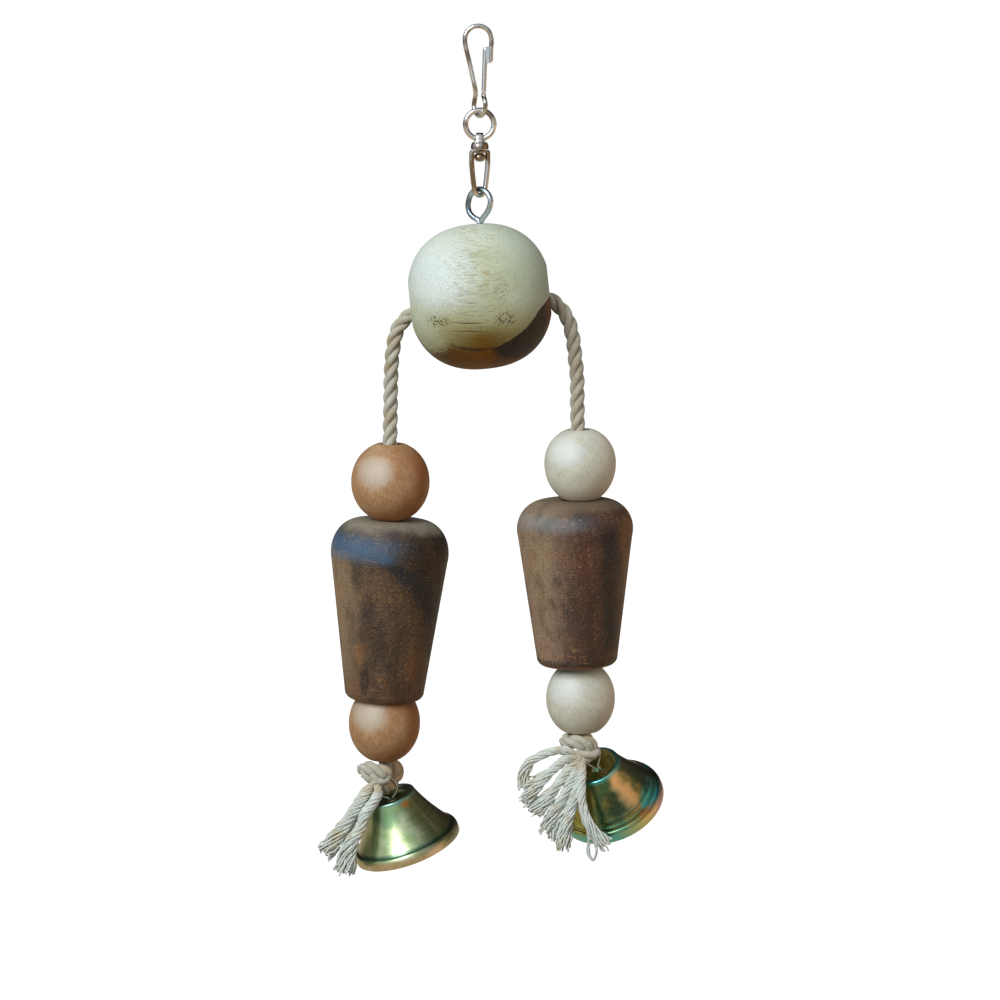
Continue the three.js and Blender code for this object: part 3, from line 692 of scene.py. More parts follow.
golden = pale_wood.mix(0.5 * fibre.rise(0.4, 0.65), golden, "523200")
open_pores = dash.rise(0.58, 0.7) * (x + 9 * sway).bump(-3, 17) * z.rise(26, 17)
clusters = oval(x, z, (10, -7), (5.5, 3.8)).most(
    oval(x, z, (-16, -8), (6, 2.8)), 0.5 * oval(x, z, (8.5, 5), (4, 6)))
holes = pinhole.rise(0.52, 0.62) * clusters + 0.5 * pinhole.rise(0.74, 0.78)
belly = z + 19.6 - 0.018 * (x + 1) * (x + 1) + 1.2 * sway
crack = (z + 8.6 + 1.4 * sway).bump(0, 0.45) * (x + 4.5).bump(0, 8.5)
crack = crack + 0.7 * (z + 12.0 + 2.0 * sway).bump(0, 0.4) * (x + 4).bump(0, 10)
crack = crack + 1.2 * belly.bump(0, 1.0) * (x + 2.5).bump(0, 12.5)
marks = (0.27 * open_pores + 0.85 * holes + crack * y.rise(0, -4)).math("MINIMUM", 1.0)
rear = y.rise(-10, 6)
above = (z + 6 + 24 * wave * rear).math("MAXIMUM", 0.0)
heart = 0.332 * x + 0.791 * y - 0.513 * z + 1.6 * sway - 0.12 * above * above
heart = (heart + 1.5 * (mottle - 0.5) + 9 * rear * (fibre - 0.5)).rise(-5.9, -5.1)
heart = heart * (x + 5 * sway).rise(3.0, 8.0).most(y.rise(-13, -1))
under = (y + 27 - 1.13 * x + 4 * (mottle - 0.5)).rise(-1, 2) * z.rise(-10, -15)
heart_colour = pale_wood.over(
    pale_wood.mix(heart_stripe.rise(0.45, 0.75), "1a1210", "34231b"),
    (0.8 * (x + 3 * heart_stripe).rise(26.5, 28.8), "6f3f22"),
    (0.85 * under, "6d430f"),
)
colour = pale_wood.over(
    pale_wood.mix(blot.rise(0.35, 0.68), "d8dfc2", "c6cfa6"),
    # Painted highlight: a pale bluish patch at the upper left and a paler top, where the light falls.
    (0.85 * oval(x, z, (-17, 12), (20, 22)), "edf8f4"),
    (0.8 * z.rise(13, 26), "eaf2e0"),
    # Painted shade: greyer towards the right side, away from the light.
    (0.6 * (x + 0.5 * z + 6 * sway).rise(10, 28), "c4d2bc"),
    (0.35 * mottle.rise(0.5, 0.68), "a3a584"),
    (0.6 * fibre.rise(0.5, 0.66) * (x + 8 * sway).bump(-1, 17), "ada468"),
    (0.75 * lower.rise(-2, 12) * (x + 6 * sway).rise(-26, -8), "b0a866"),
    (0.92 * lower.rise(7.5, 15) * (x + 6 * sway).bump(2, 21), "83650f"),
    (0.94 * deep.rise(15.0, 20.5), golden),
    (0.5 * oval(x, z, (2.8, 11.2), (2.2, 1.4)), "b49a6c"),
    (0.85 * marks, "46341c"),
    (0.97 * heart, heart_colour),
)
rough = 0.42 + 0.22 * mottle
relief = 0.35 * mottle + 0.3 * fibre - 1.4 * marks
pale_wood.show(relief=relief, depth=0.22, Base_Color=colour, Roughness=rough)

ball = turned("wooden_ball_turned", ball_profile, 128, bore_place, pale_wood.material, closed=True)
hole_radius = screw_wire / 2 + fit
hole_profile = [(0, -18.4), (hole_radius, -17.9), (hole_radius, 2), (0, 2)]
hole_place = ball_place @ Matrix.Translation((0, 0, ball_radius))
screw_hole = turned("screw_hole", hole_profile, 24, hole_place, pale_wood.material)
fuse(ball, screw_hole, "DIFFERENCE")
own_marks(ball, ball_place)
join(ball, "ball", "pale_wood", "wooden_ball")

# Rope: one length of three-strand cotton, laid to the right, through the ball's bore and down both
# sides through the beads and cones to a knot. Each half is a piece of its own from the bore's middle.
rope_lay = 17.0
sides = {
    "left": {
        "out": -1, "lean": 1.15, "drop": 27.3, "pivot": (-35.4, 0, -31.5), "stack": 128.4,
        "bend": [(-21.4, 0, -4.7), (-28.0, 0, -7.6), (-32.6, 0, -12.8), (-34.6, 0, -21.0)],
    },
    "right": {
        "out": 1, "lean": -0.9, "drop": 22.1, "pivot": (38.6, 0, -31.0), "stack": 122.3,
        "bend": [(12.0, 0, -1.0), (22.6, 0, 0.5), (28.8, 0, -1.7), (34.4, 0, -8.0), (36.9, 0, -16.2),
                 (37.9, 0, -24.7)],
    },
}

cotton = Finish("cotton_rope", Specular_IOR_Level=0.2, Sheen_Weight=0.25, Sheen_Roughness=0.6)
at = cotton.millimetres()
across, behind, height = cotton.split(at)
cos_round, sin_round, _ = cotton.split(cotton.attribute("round"))
run = cotton.attribute("along", "Fac") / MM
swirl = cotton.add("ShaderNodeMath", {0: sin_round, 1: cos_round}, operation="ARCTAN2")
yarn = (swirl * 9.0 + run * 1.6).math("SINE")
soil = cotton.cloud(at, 8.0, detail=3.0)
hair = cotton.cloud(at, 0.35, detail=2.0, seed=2.0)
# Painted warm shade on the rope behind and under the knot, where the bead and the knot keep the light off.
painted_shade_behind_knot = behind.rise(-2.0, 1.5) * height.rise(-282, -291)
painted_shade_under_knot = behind.rise(-5.0, -2.5) * height.rise(-299.5, -302.5) * across.rise(4, -4)
colour = cotton.over(
    cotton.mix(soil.rise(0.42, 0.75), "dcddcc", "c8b795"),
    # Painted shade: darker tan in the grooves between the yarns.
    (0.45 * yarn.rise(-0.2, -1.0), "a0855c"),
    (0.75 * painted_shade_behind_knot.most(painted_shade_under_knot), "f0c68e"),
)
cotton.show(relief=0.6 * yarn + hair, depth=0.12, Base_Color=colour, Roughness=0.85 + 0.1 * hair)


def rope(name, points):
    """Three-strand rope along a line of points."""
    return grown(name, points, laid_strands, Strands=3, Lay_Radius=1.56 * MM, Lay_Length=rope_lay * MM,
                 Radius=1.46 * MM, Sides=30, Yarns=10, Yarn_Depth=0.035, Yarn_Turn=-9.0 * MM,
                 Finish=cotton.material)


for side, data in sides.items():
    along, below = 0.15 * data["out"], 2.7
    start = (along * math.cos(bore_tilt) + below * math.sin(bore_tilt), 0,
             along * math.sin(bore_tilt) - below * math.cos(bore_tilt))
    pivot = ball_middle + Vector(data["pivot"])
    data["strand"] = Matrix.Translation(pivot) @ about("Y", data["lean"])
    foot = 1.9 - data["drop"] - data["stack"]
    hang = placed(data["strand"], [(0, 0, z) for z in (-12, -30, -60, -100, foot)])
    rope_points = [ball_middle + Vector(point) for point in (start, *data["bend"])] + [pivot] + hang
    rope_line = spline(rope_points, 0.55)
    data["rope"] = rope(f"{side}_rope_laid", rope_line)
    data["rope_line"] = rope_line
    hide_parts(f"{side}_rope_bend", f"{side}_rope")
    down = (data["strand"].to_3x3() @ Vector((0, 0, -9))) * MM
    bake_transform(data["rope"], f"{side}_strand", f"{side}_bend", start=pivot * MM + down, end=pivot * MM - down)

# Upper beads: round beads turned from plain wood, drilled through and flat at the bore's ends.
# They slide on the rope and rest on the cone below.
upper_beads = {
    "left": dict(radius=15.7, rise=15.3, top=16.3, fall=15.1, foot=16.3, shift=0.45, tilt=0),
    "right": dict(radius=14.35, rise=13.4, top=14.4, fall=14.5, foot=16.4, shift=0.85, tilt=0),
}
bead_fullness = 2.05
bead_bore = 4.3


def bead_profile(bead):
    skin = []
    for turn in np.sin(np.linspace(-math.pi / 2, math.pi / 2, 49)):
        cut, bulge = (bead["rise"], bead["top"]) if turn > 0 else (bead["fall"], bead["foot"])
        width = (1 - abs(cut * turn / bulge) ** bead_fullness) ** (1 / bead_fullness)
        skin.append((bead["radius"] * width, cut * turn))
    end = [(bead_bore + 0.5, bead["rise"]), (bead_bore, bead["rise"] - 0.5)]
    start = [(bead_bore, 0.5 - bead["fall"]), (bead_bore + 0.5, -bead["fall"])]
    return [*skin, *end, *start]


def bead_wood(name, light, pale, mid, deep, edge, veil, grain, seed):
    """Turned and sanded wood: faint curved rings, fine fibres and a few short pores, with a painted highlight at
    the upper left and painted shade on the right side and underneath.
    """
    finish = Finish(name, Specular_IOR_Level=0.4)
    at = finish.attribute("own")
    x, y, z = finish.split(at)
    sway = finish.cloud(at, 9.0, detail=2.0, seed=seed) - 0.5
    heart = finish.vector("MULTIPLY_ADD", at, (1, 0.3, 1), (5, 4, 3 + 0.5 * seed))
    away = finish.length(heart) + 4.0 * sway
    ring = (away * 1.7).math("SINE")
    blot = finish.cloud(at, 9.0, detail=3.0, seed=seed + 3)
    fibre = finish.cloud(at, 0.55, stretch=(1, 1, 5), detail=3.0, seed=seed)
    grit = finish.cloud(at, 0.4, detail=2.0, seed=seed + 6)
    dash = finish.cloud(at, 0.6, stretch=(0.7, 0.7, 4), detail=1.0, seed=seed + 8).rise(0.68, 0.76)
    colour = finish.over(
        finish.mix(blot.rise(0.35, 0.68), pale, mid),
        (0.6 * (blot + 0.35 * sway).rise(0.56, 0.7), veil),
        (0.15 * grain * ring.rise(0.3, 1.0), deep),
        (grain * (0.4 * fibre.rise(0.48, 0.68) + 0.35 * grit.rise(0.5, 0.68)), deep),
        (0.5 * grain * dash, edge),
        # Painted highlight at the upper left.
        (0.7 * oval(x + 3 * sway, z, (-6, 5), (9, 8)), light),
        # Painted shade in the warm edge colour on the right side and underneath; the same colour also fills the
        # short pores.
        (0.8 * (x + 0.25 * y + 4 * sway).rise(2.0, 13.0), edge),
        (0.5 * (0.3 * x - z + 3 * sway).rise(3.0, 14.0), edge),
    )
    rough = 0.34 + 0.22 * fibre
    return finish.show(relief=fibre + 0.5 * grit - dash, depth=0.1, Base_Color=colour, Roughness=rough)


tan_wood = bead_wood("tan_wood", "d9d0bd", "cfa97f", "bb8d62", "8c6038", "a25a14", "bf8a63", 1.0, 2.0)
ivory_wood = bead_wood("ivory_wood", "f4faf5", "eceedd", "e0dfc8", "b8a67c", "e8dcc0", "dfe9e2", 0.7, 6.0)
bead_finish = {"left": ("tan_wood", tan_wood), "right": ("ivory_wood", ivory_wood)}


def threaded(side, shape, height):
    """Where a drilled piece hangs on its strand."""
    shift = Matrix.Translation((shape["shift"], 0, height))
    return sides[side]["strand"] @ shift @ about("Y", shape["tilt"])


def add_bead(side, which, shape, height):
    place = threaded(side, shape, height)
    slot, finish = bead_finish[side]
    piece = turned(f"{side}_{which}_turned", bead_profile(shape), 96, place, finish, closed=True)
    join(own_marks(piece, place), f"{side}_{which}", slot, f"{side}_{which}")


for side, shape in upper_beads.items():
    add_bead(side, "upper_bead", shape, -sides[side]["drop"] - shape["rise"])

# Cones: heavy tapered pieces turned from a dark mixed branch, with a round shoulder, a straight
# taper and a rounded foot. Each has its own streaks of black heart and golden sapwood, a painted
# sheen on its shoulder and crown, and the left one painted shade on its right flank.
cones = {
    "left": dict(radius=23.65, height=72.7, shoulder=13.1, crown=13.0, foot=16.0, shift=-0.7, tilt=1.3),
    "right": dict(radius=23.3, height=66.9, shoulder=11.6, crown=12.0, foot=16.3, shift=-1.35, tilt=-0.2),
}
cone_foot_round = 3.4
cone_bore = 5.0


def cone_profile(cone):
    crown, height = cone["crown"], cone["height"]
    reach = cone["radius"] - crown
    shoulder = [(crown + reach * x, height - cone["shoulder"] * (1 - z))
                for x, z in arc(1, np.linspace(-15, 90, 28))]
    foot = arc(cone_foot_round, np.linspace(-90, 0, 12), (cone["foot"] - cone_foot_round, cone_foot_round))
    taper = [tuple(point) for point in np.linspace(foot[-1], shoulder[0], 34)[1:-1]]
    bore = [(cone_bore + 0.6, height), (cone_bore, height - 0.6)]
    bore += [(cone_bore, z) for z in np.linspace(height - 2, 2, 10)]
    return [*foot, *taper, *shoulder, *bore, (cone_bore, 0.6), (cone_bore + 0.6, 0)]


def cone_wood(name, marks):
    """Dark turned wood: its own large marks under a fine golden speckle and a few white grains, and a layer over
    the speckle with dark marks, painted shade and painted sheen.
    """
    finish = Finish(name, Specular_IOR_Level=0.4)
    at = finish.attribute("own")
    x, y, z = finish.split(at)
    sway = finish.cloud(at, 13.0, stretch=(1, 1, 1.6), detail=4.0, seed=1.0) - 0.5
    blot = finish.cloud(at, 8.0, stretch=(1, 1, 1.8), detail=4.0, seed=4.0)
    fibre = finish.cloud(at, 0.8, stretch=(1, 1, 5), detail=3.0, seed=7.0)
    fleck = finish.cloud(at, 0.5, detail=3.0, seed=11.0)
    bent = finish.vector("ADD", at, finish.scale(finish.vector("SINE", finish.scale(at, 0.35)), 3.0))
    curl = finish.cloud(bent, 1.5, stretch=(3, 1, 0.5), detail=2.0, seed=17.0)
    white = finish.cloud(at, 0.55, detail=0.0, seed=15.0).rise(0.83, 0.86)
    colour, marks_and_painted_light, veil = marks(finish, x + 7 * sway, x, y, z, sway)
    colour = finish.over(
        colour,
        (0.6 * blot.rise(0.46, 0.66), "33291f"),
        (0.3 * blot.rise(0.46, 0.32), "8c6c45"),
        (0.35 * fibre.rise(0.48, 0.7), "241a16"),
        (0.5 * fleck.rise(0.5, 0.64) * blot.rise(0.75, 0.4), "a58458"),
        (0.4 * fleck.rise(0.47, 0.36), "191310"),
        (0.5 * curl.rise(0.57, 0.7) * sway.rise(-0.12, 0.1), "b98f58"),
        # This layer lays on dark marks together with painted shade, painted reflection and painted sheen.
        (marks_and_painted_light * (1 - 0.45 * fleck.rise(0.5, 0.64)), veil),
        (0.8 * white, "e6dfd0"),
    )
    rough = 0.36 + 0.16 * fibre + 0.08 * blot
    relief = 0.7 * fibre + 0.7 * fleck + 0.9 * curl
    return finish.show(relief=relief, depth=0.42, Base_Color=colour, Roughness=rough)


def left_marks(finish, drift, x, y, z, sway):
    """A black arc, partly dark wood and partly painted dark reflection, a painted blue sheen under the shoulder,
    a painted pale sheen on the crown, painted shade on the right flank and a few blots.
    """
    edge = 0.0195 * (z - 28) * (z - 28) + 0.9 * (x - 17) + 5 * sway
    edge = (edge - 12 * z.rise(24, 10)).most(1.2 * (z - 61.5) + 6 * sway)
    # Painted shade past the arc's edge, over the right flank.
    painted_shade_right = 0.9 * edge.rise(-1.5, 1.5)
    colour = finish.over(
        finish.mix(drift.rise(-6, -19), "594333", "a0876a"),
        (0.6 * z.rise(18, 2), "6d4631"),
        (0.45 * oval(drift, z, (12, 16), (5, 12)), "8a562b"),
        (0.5 * oval(drift, z, (-11, 20), (3, 7)), "a3682c"),
        (painted_shade_right, finish.mix(drift.rise(0, 18), "3b302a", "1d140e")),
    )
    # The arc is partly dark wood and partly a painted dark reflection around the shoulder's painted sheen.
    night = 0.95 * edge.bump(3.0, 9.0) * y.rise(6, 0) * x.rise(-10, 0) * z.rise(69, 62)
    # Painted reflection of the window light: a blue sheen under the shoulder.
    sheen = 0.85 * (z + 7 * sway).bump(63.5, 10.0) * drift.rise(17, -12) * y.rise(8, -4)
    # Painted pale sheen on the crown, where the light from above falls.
    crown = 0.75 * (z + 9 * sway).rise(64.0, 76.0)
    # Painted shade growing deeper towards the right.
    flank = 0.7 * painted_shade_right * drift.rise(1, 15)
    blots = (0.75 * oval(x, z, (-12, 52), (3.5, 8))).most(
        0.5 * oval(drift, z, (-7.5, 36), (5, 12)), 0.85 * oval(x, z, (-7.6, 9.5), (2.6, 8.5), 0.1))
    veil = finish.over(
        # Dark brown over blots and painted shade, and navy on the arc as painted dark reflection.
        finish.mix(night.rise(0.1, 0.5), "221b16", "10161f"),
        (sheen.rise(0.05, 0.5), "466c8c"),
        (crown.rise(0.1, 0.6), "c2bba8"),
    )
    return colour, night.most(blots, sheen, crown, flank), veil


def right_marks(finish, drift, x, y, z, sway):
    """Olive sapwood on the left, a red middle, a black streak on the right, a painted grey sheen under the
    shoulder, a painted pale sheen on the crown, and a dark band low down above a golden bottom edge.
    """
    colour = finish.over(
        finish.mix(drift.rise(2, -17), "583930", "b4977d"),
        (0.7 * drift.bump(-14.5, 5.5) * z.rise(6, 30), "b39c76"),
        (0.5 * oval(drift, z, (3, 42), (4, 22)), "60362c"),
        (0.8 * (x + 1.5 * sway).rise(17.5, 20) * z.rise(2, 12), "8d5f2b"),
        (0.75 * z.rise(5.0, 2.4), "221711"),
        (0.9 * z.bump(0.7, 0.9), "a06a2a"),
    )
    night = 0.95 * (x + 2.5 * sway).bump(13.0, 6.5) * z.rise(62, 54) * z.rise(3, 10)
    # Painted reflection of the window light: a grey sheen under the shoulder.
    sheen = 0.45 * (z + 4 * sway).bump(60.0, 8.0) * drift.rise(20, -8) * y.rise(8, -4)
    # Painted pale sheen on the crown, where the light from above falls.
    crown = 0.55 * (z + 6 * sway).rise(60.5, 67.0)
    veil = finish.mix(sheen.rise(0.05, 0.4), "15181c", "8797a0")
    veil = finish.mix(crown.rise(0.1, 0.4), veil, "8f836c")
    return colour, night.most(sheen, crown), veil


cone_finish = {
    "left": cone_wood("dark_wood_left", left_marks),
    "right": cone_wood("dark_wood_right", right_marks),
}
for side, cone in cones.items():
    upper = upper_beads[side]
    cone_z = -sides[side]["drop"] - upper["rise"] - upper["fall"] - fit - cone["height"]
    place = threaded(side, cone, cone_z)
    piece = turned(f"{side}_cone_turned", cone_profile(cone), 128, place, cone_finish[side], closed=True)
    join(own_marks(piece, place), f"{side}_cone", "dark_wood", f"{side}_cone")
    cone["z"] = cone_z

# Lower beads: like the upper ones and a little smaller. They carry the stack above and rest on
# the knot.
lower_beads = {
    "left": dict(radius=14.4, rise=9.7, top=16.2, fall=15.0, foot=16.2, shift=-0.4, tilt=1.3),
    "right": dict(radius=13.9, rise=13.5, top=15.5, fall=13.4, foot=15.5, shift=-0.2, tilt=0),
}
for side, shape in lower_beads.items():
    height = cones[side]["z"] - fit - shape["rise"]
    add_bead(side, "lower_bead", shape, height)
    sides[side]["knot_place"] = sides[side]["strand"] @ Matrix.Translation((0, 0, height - shape["fall"]))

# Knots: the rope's own end, turned back round itself under the lower bead and pulled tight, so that
# the stack can't slide off.
knots = {
    "left": [
        [(0, 0, 1.6), (0.2, 0, 0), (1.6, 1.2, -2.0), (4.5, 3.8, -4.4), (4.4, 4.6, -7.6), (1.4, 0.6, -11.4),
         (-0.8, -4.2, -9.4), (-2.8, -5.6, -7.2), (-6.0, -5.0, -5.6), (-8.2, -3.2, -4.2)],
        [(-7.9, -3.2, -4.6), (-8.1, -3.8, -3.0), (-5.6, -5.2, -3.0), (-1.6, -6.4, -3.6), (0.8, -6.2, -4.8),
         (-0.4, -5.8, -6.4), (-2.4, -5.6, -7.8), (-3.4, -6.0, -9.0)],
    ],
    "right": [
        [(0, 0, 1.6), (0, 0, 0), (0.2, 0.9, -2.0), (1.9, 4.1, -4.5), (3.5, 4.6, -6.9), (3.5, 0, -9.7),
         (3.5, -4.5, -7.1), (3.0, -6.3, -4.2), (-1.0, -6.6, -3.5), (-5.2, -4.8, -3.5), (-6.2, -0.6, -3.9)],
        [(-6.2, -1.2, -3.9), (-4.4, 3.0, -4.4), (-0.4, 4.6, -5.6), (2.4, 4.8, -6.4)],
        [(4.4, -3.6, -6.2), (4.2, -6.4, -7.8), (1.4, -7.4, -9.0), (-1.6, -7.6, -9.4)],
    ],
}


def merged(name, pieces):
    """Several meshes made into one piece."""
    whole = bmesh.new()
    for piece in pieces:
        whole.from_mesh(piece.data)
    mesh = pieces[0].data
    whole.to_mesh(mesh)
    whole.free()
    for piece in pieces[1:]:
        bpy.data.objects.remove(piece)
    pieces[0].name = mesh.name = name
    return pieces[0]


for side, runs in knots.items():
    turns = []
    for count, points in enumerate(runs):
        line = placed(sides[side]["knot_place"], spline(points, 0.5))
        turns.append(rope(f"{side}_turn_{count}", line))
    knot = merged(f"{side}_knot_laid", turns)
    join(knot, f"{side}_strand", "cotton_rope", f"{side}_knot")
    sides[side]["knot"] = knot

# Tassels: the rope's ends below the knots, opened into their yarns. Each bunch keeps a loose twist
# near the knot and frays towards its end. A bunch is given as its radius at the knot and at its end,
# its number of yarns, and its line.
tassels = {
    "left": [
        (2.3, 4.2, 32, [(-4.0, -6.0, -8.2), (-7.4, -7.4, -12.6), (-11.6, -8.2, -19.4),
                        (-17.4, -8.8, -28.4), (-24.4, -9.0, -38.4)]),
        (1.1, 1.8, 10, [(-3.6, -5.4, -9.0), (-8.8, -6.4, -17.6), (-13.0, -7.0, -26.6),
                        (-18.8, -7.6, -34.6)]),
        (2.0, 4.4, 34, [(-3.0, -6.2, -8.4), (-2.2, -8.6, -12.0), (-4.4, -10.2, -16.2),
                        (-7.6, -11.0, -20.8), (-8.6, -11.2, -25.6), (-12.4, -11.2, -31.8),
                        (-15.8, -11.4, -45.8)]),
    ],
    "right": [
        (1.6, 2.4, 20, [(-0.8, -7.8, -8.8), (-6.0, -8.6, -6.6), (-11.0, -9.2, -6.2),
                        (-16.4, -9.6, -7.9), (-21.2, -9.8, -10.8), (-23.6, -9.8, -15.6),
                        (-23.6, -9.8, -22.4)]),
        (1.8, 3.0, 22, [(-0.8, -8.2, -9.4), (-6.4, -9.6, -9.8), (-12.4, -10.6, -14.2),
                        (-18.0, -11.4, -19.6), (-24.8, -11.8, -27.4)]),
        (1.8, 2.8, 22, [(-0.8, -8.4, -9.6), (-6.6, -10.8, -15.0), (-11.4, -11.8, -21.6),
                        (-15.6, -12.2, -27.0), (-20.2, -12.4, -32.0)]),
        (1.8, 3.0, 22, [(-0.6, -8.4, -9.8), (-4.2, -11.6, -17.0), (-8.0, -12.6, -24.6),
                        (-12.2, -12.8, -31.0), (-16.2, -13.0, -40.0)]),
        (1.9, 3.3, 26, [(0.0, -8.6, -9.8), (-2.4, -12.4, -20.0), (-4.6, -13.6, -28.6),
                        (-6.8, -14.2, -35.6), (-8.6, -14.6, -46.6)]),
        (1.6, 3.0, 22, [(0.4, -8.8, -9.8), (-0.6, -13.0, -19.6), (-0.4, -15.0, -26.4),
                        (2.0, -16.4, -34.6), (5.8, -17.0, -40.0), (10.6, -17.4, -45.0)]),
        (0.6, 0.9, 3, [(2.0, -16.8, -34.0), (2.2, -17.2, -41.0), (1.8, -17.4, -47.0),
                       (3.6, -17.4, -49.4), (5.0, -17.4, -46.4), (4.6, -17.2, -40.6)]),
        (1.2, 2.4, 12, [(-0.8, -8.0, -9.2), (-8.4, -9.4, -10.6), (-14.6, -10.0, -15.4),
                        (-19.6, -10.4, -18.2), (-24.4, -10.4, -20.6)]),
        (1.2, 2.2, 12, [(-0.8, -8.2, -9.4), (-5.4, -9.8, -13.4), (-10.4, -10.6, -19.8),
                        (-17.2, -11.2, -25.6), (-22.8, -11.6, -30.4)]),
        (1.2, 2.4, 12, [(-0.4, -8.4, -9.8), (-3.4, -11.0, -18.0), (-6.2, -12.0, -26.8),
                        (-10.4, -12.6, -34.0), (-12.4, -13.0, -42.8)]),
    ],
}

loose_yarn = Finish("loose_yarn", Specular_IOR_Level=0.2, Sheen_Weight=0.3, Sheen_Roughness=0.5)
at = loose_yarn.millimetres()
shade = loose_yarn.cloud(at, 6.0, detail=3.0, seed=6.0)
tuft = loose_yarn.cloud(at, 0.5, detail=2.0, seed=8.0)
# Painted tan shade on the yarns close to the knot.
painted_shade_near_knot = loose_yarn.attribute("along", "Fac").rise(0.01, 0.002)
colour = loose_yarn.over(
    loose_yarn.mix(shade.rise(0.45, 0.72), "ecf4ec", "e0d8ba"),
    (0.6 * painted_shade_near_knot, "c9b283"),
    (0.3 * tuft.rise(0.5, 0.7), "b3c3c2"),
)
loose_yarn.show(Base_Color=colour, Roughness=0.8 + 0.15 * tuft)
golden_angle = 2.39996


def yarn_tree():
    inputs = {"Path": "Geometry", "Yarns": "Int", "Root": "Float", "Fray": "Float", "Twist Length": "Float",
              "Crimp": "Float", "Ragged": "Float", "Radius": "Float", "Seed": "Int", "Finish": "Material"}
    tree, given = group_tree("frayed_yarns", inputs)
    copies, which, run = copied_line(tree, given["Path"], given["Yarns"])
    share = tree.add("GeometryNodeSplineParameter", output="Factor")
    opened = share.rise(0.45, 1.0)
    gathered = 0.55 + 0.45 * share.rise(0.0, 0.18)
    bunch = (given["Root"] + (given["Fray"] - given["Root"]) * opened) * gathered
    reach = bunch * ((which + 0.5) / given["Yarns"]) ** 0.5
    turn = which * golden_angle + run / given["Twist Length"] * (1 - 0.45 * share) * math.tau
    step = sideways(tree, turn, reach)
    position = tree.add("GeometryNodeInputPosition")
    chance = {"ID": which, "Seed": given["Seed"]}
    reaches = {0: (-9, -9, -9), 1: (9, 9, 9), **chance}
    lot = tree.add("FunctionNodeRandomValue", reaches, 0, data_type="FLOAT_VECTOR")
    drawn = tree.vector("ADD", tree.scale(position, 300.0), lot)
    waver = tree.add("ShaderNodeTexNoise", {"Vector": drawn, "Scale": 1.0, "Detail": 1.0}, "Color")
    waver = tree.vector("SUBTRACT", waver, (0.5, 0.5, 0.5))
    waver = tree.scale(waver, given["Crimp"] * (0.3 + opened))
    moved = {"Geometry": copies, "Offset": tree.vector("ADD", step, waver)}
    yarns = tree.add("GeometryNodeSetPosition", moved)
    luck = tree.add("FunctionNodeRandomValue", {2: 0.0, 3: 1.0, **chance}, 1, data_type="FLOAT")
    cut_end = 1 - given["Ragged"] * luck
    cut = tree.add("GeometryNodeTrimCurve", {"Curve": yarns, "End": cut_end}, mode="FACTOR")
    made = swept(tree, cut, given["Radius"], 5)
    return end_tree(tree, made, given["Finish"])


frayed_yarns = yarn_tree()
for side, bunches in tassels.items():
    strands = []
    for count, (root, fray, yarns, points) in enumerate(bunches):
        line = placed(sides[side]["knot_place"], spline(points, 0.9))
        strands.append(grown(
            f"{side}_bunch_{count}", line, frayed_yarns, Yarns=yarns, Root=root * MM, Fray=fray * MM,
            Twist_Length=12.0 * MM, Crimp=1.9 * MM, Ragged=0.1, Radius=0.4 * MM, Seed=count,
            Finish=loose_yarn.material))
    tassel = merged(f"{side}_tassel_frayed", strands)
    join(tassel, f"{side}_strand", "cotton_rope", f"{side}_tassel")

# Bell hangers: thin plated wire bent to one closed loop round the rope at the knot, drawn in through
# the hole in the bell's crown, with a small loop below it for the clapper.
hangs = {
    "left": {"at": (1.2, 0, -11.6), "lean": 18.6, "tip": 9.5, "floor": -5.4},
    "right": {"at": (3.5, 0, -9.7), "lean": 22, "tip": 30, "floor": -6.6},
}
hanger_wire = 0.9
hanger_loop = 4.05
hanger_tail = 4.75


def hanger_points(floor):
    half = arc(hanger_loop, [45, 0, -45]) + [(0.9, floor + 0.9), (0.9, floor - 0.9), (1.7, floor - 2.6)]
    other_half = [(-x, z) for x, z in reversed(half)]
    return in_plane([(0, hanger_loop), *half, (0, floor - hanger_tail), *other_half])


thin_wire = nickel("bell_wire", "b9bbb6", "85857e", 0.25)
for side, hang in hangs.items():
    still = about("Y", -hang["lean"] - sides[side]["lean"])
    hang["place"] = sides[side]["knot_place"] @ Matrix.Translation(hang["at"]) @ still
    line = placed(hang["place"], spline(hanger_points(hang["floor"]), 0.4, closed=True))
    hanger = wire(f"{side}_bell_hanger_wire", line, hanger_wire, thin_wire, sides=12, closed=True)
    join(hanger, f"{side}_bell", "bell_wire", f"{side}_bell_hanger")

# Bells: thin brass shells spun to a flare, with a dished crown, a rolled lip and a tarnish that runs
# from greenish gold on the left bell to dark bronze on the right one. Their colours also carry
# painted reflections and highlights.
crown_radius = 10.2
bell_mouth = 22.0
bell_flare = 0.69
bell_wall = 0.9
dish_depth = 2.4
dish_radius = 7.4
lip_height = 4.5
lip_step = 1.9
lip_foot = dish_depth - 23.2
lip_top = lip_foot + lip_height
lip_radius = bell_mouth - lip_step
lip_band = 1.5
crown_edge = 0.8
bell_hole = 1.9


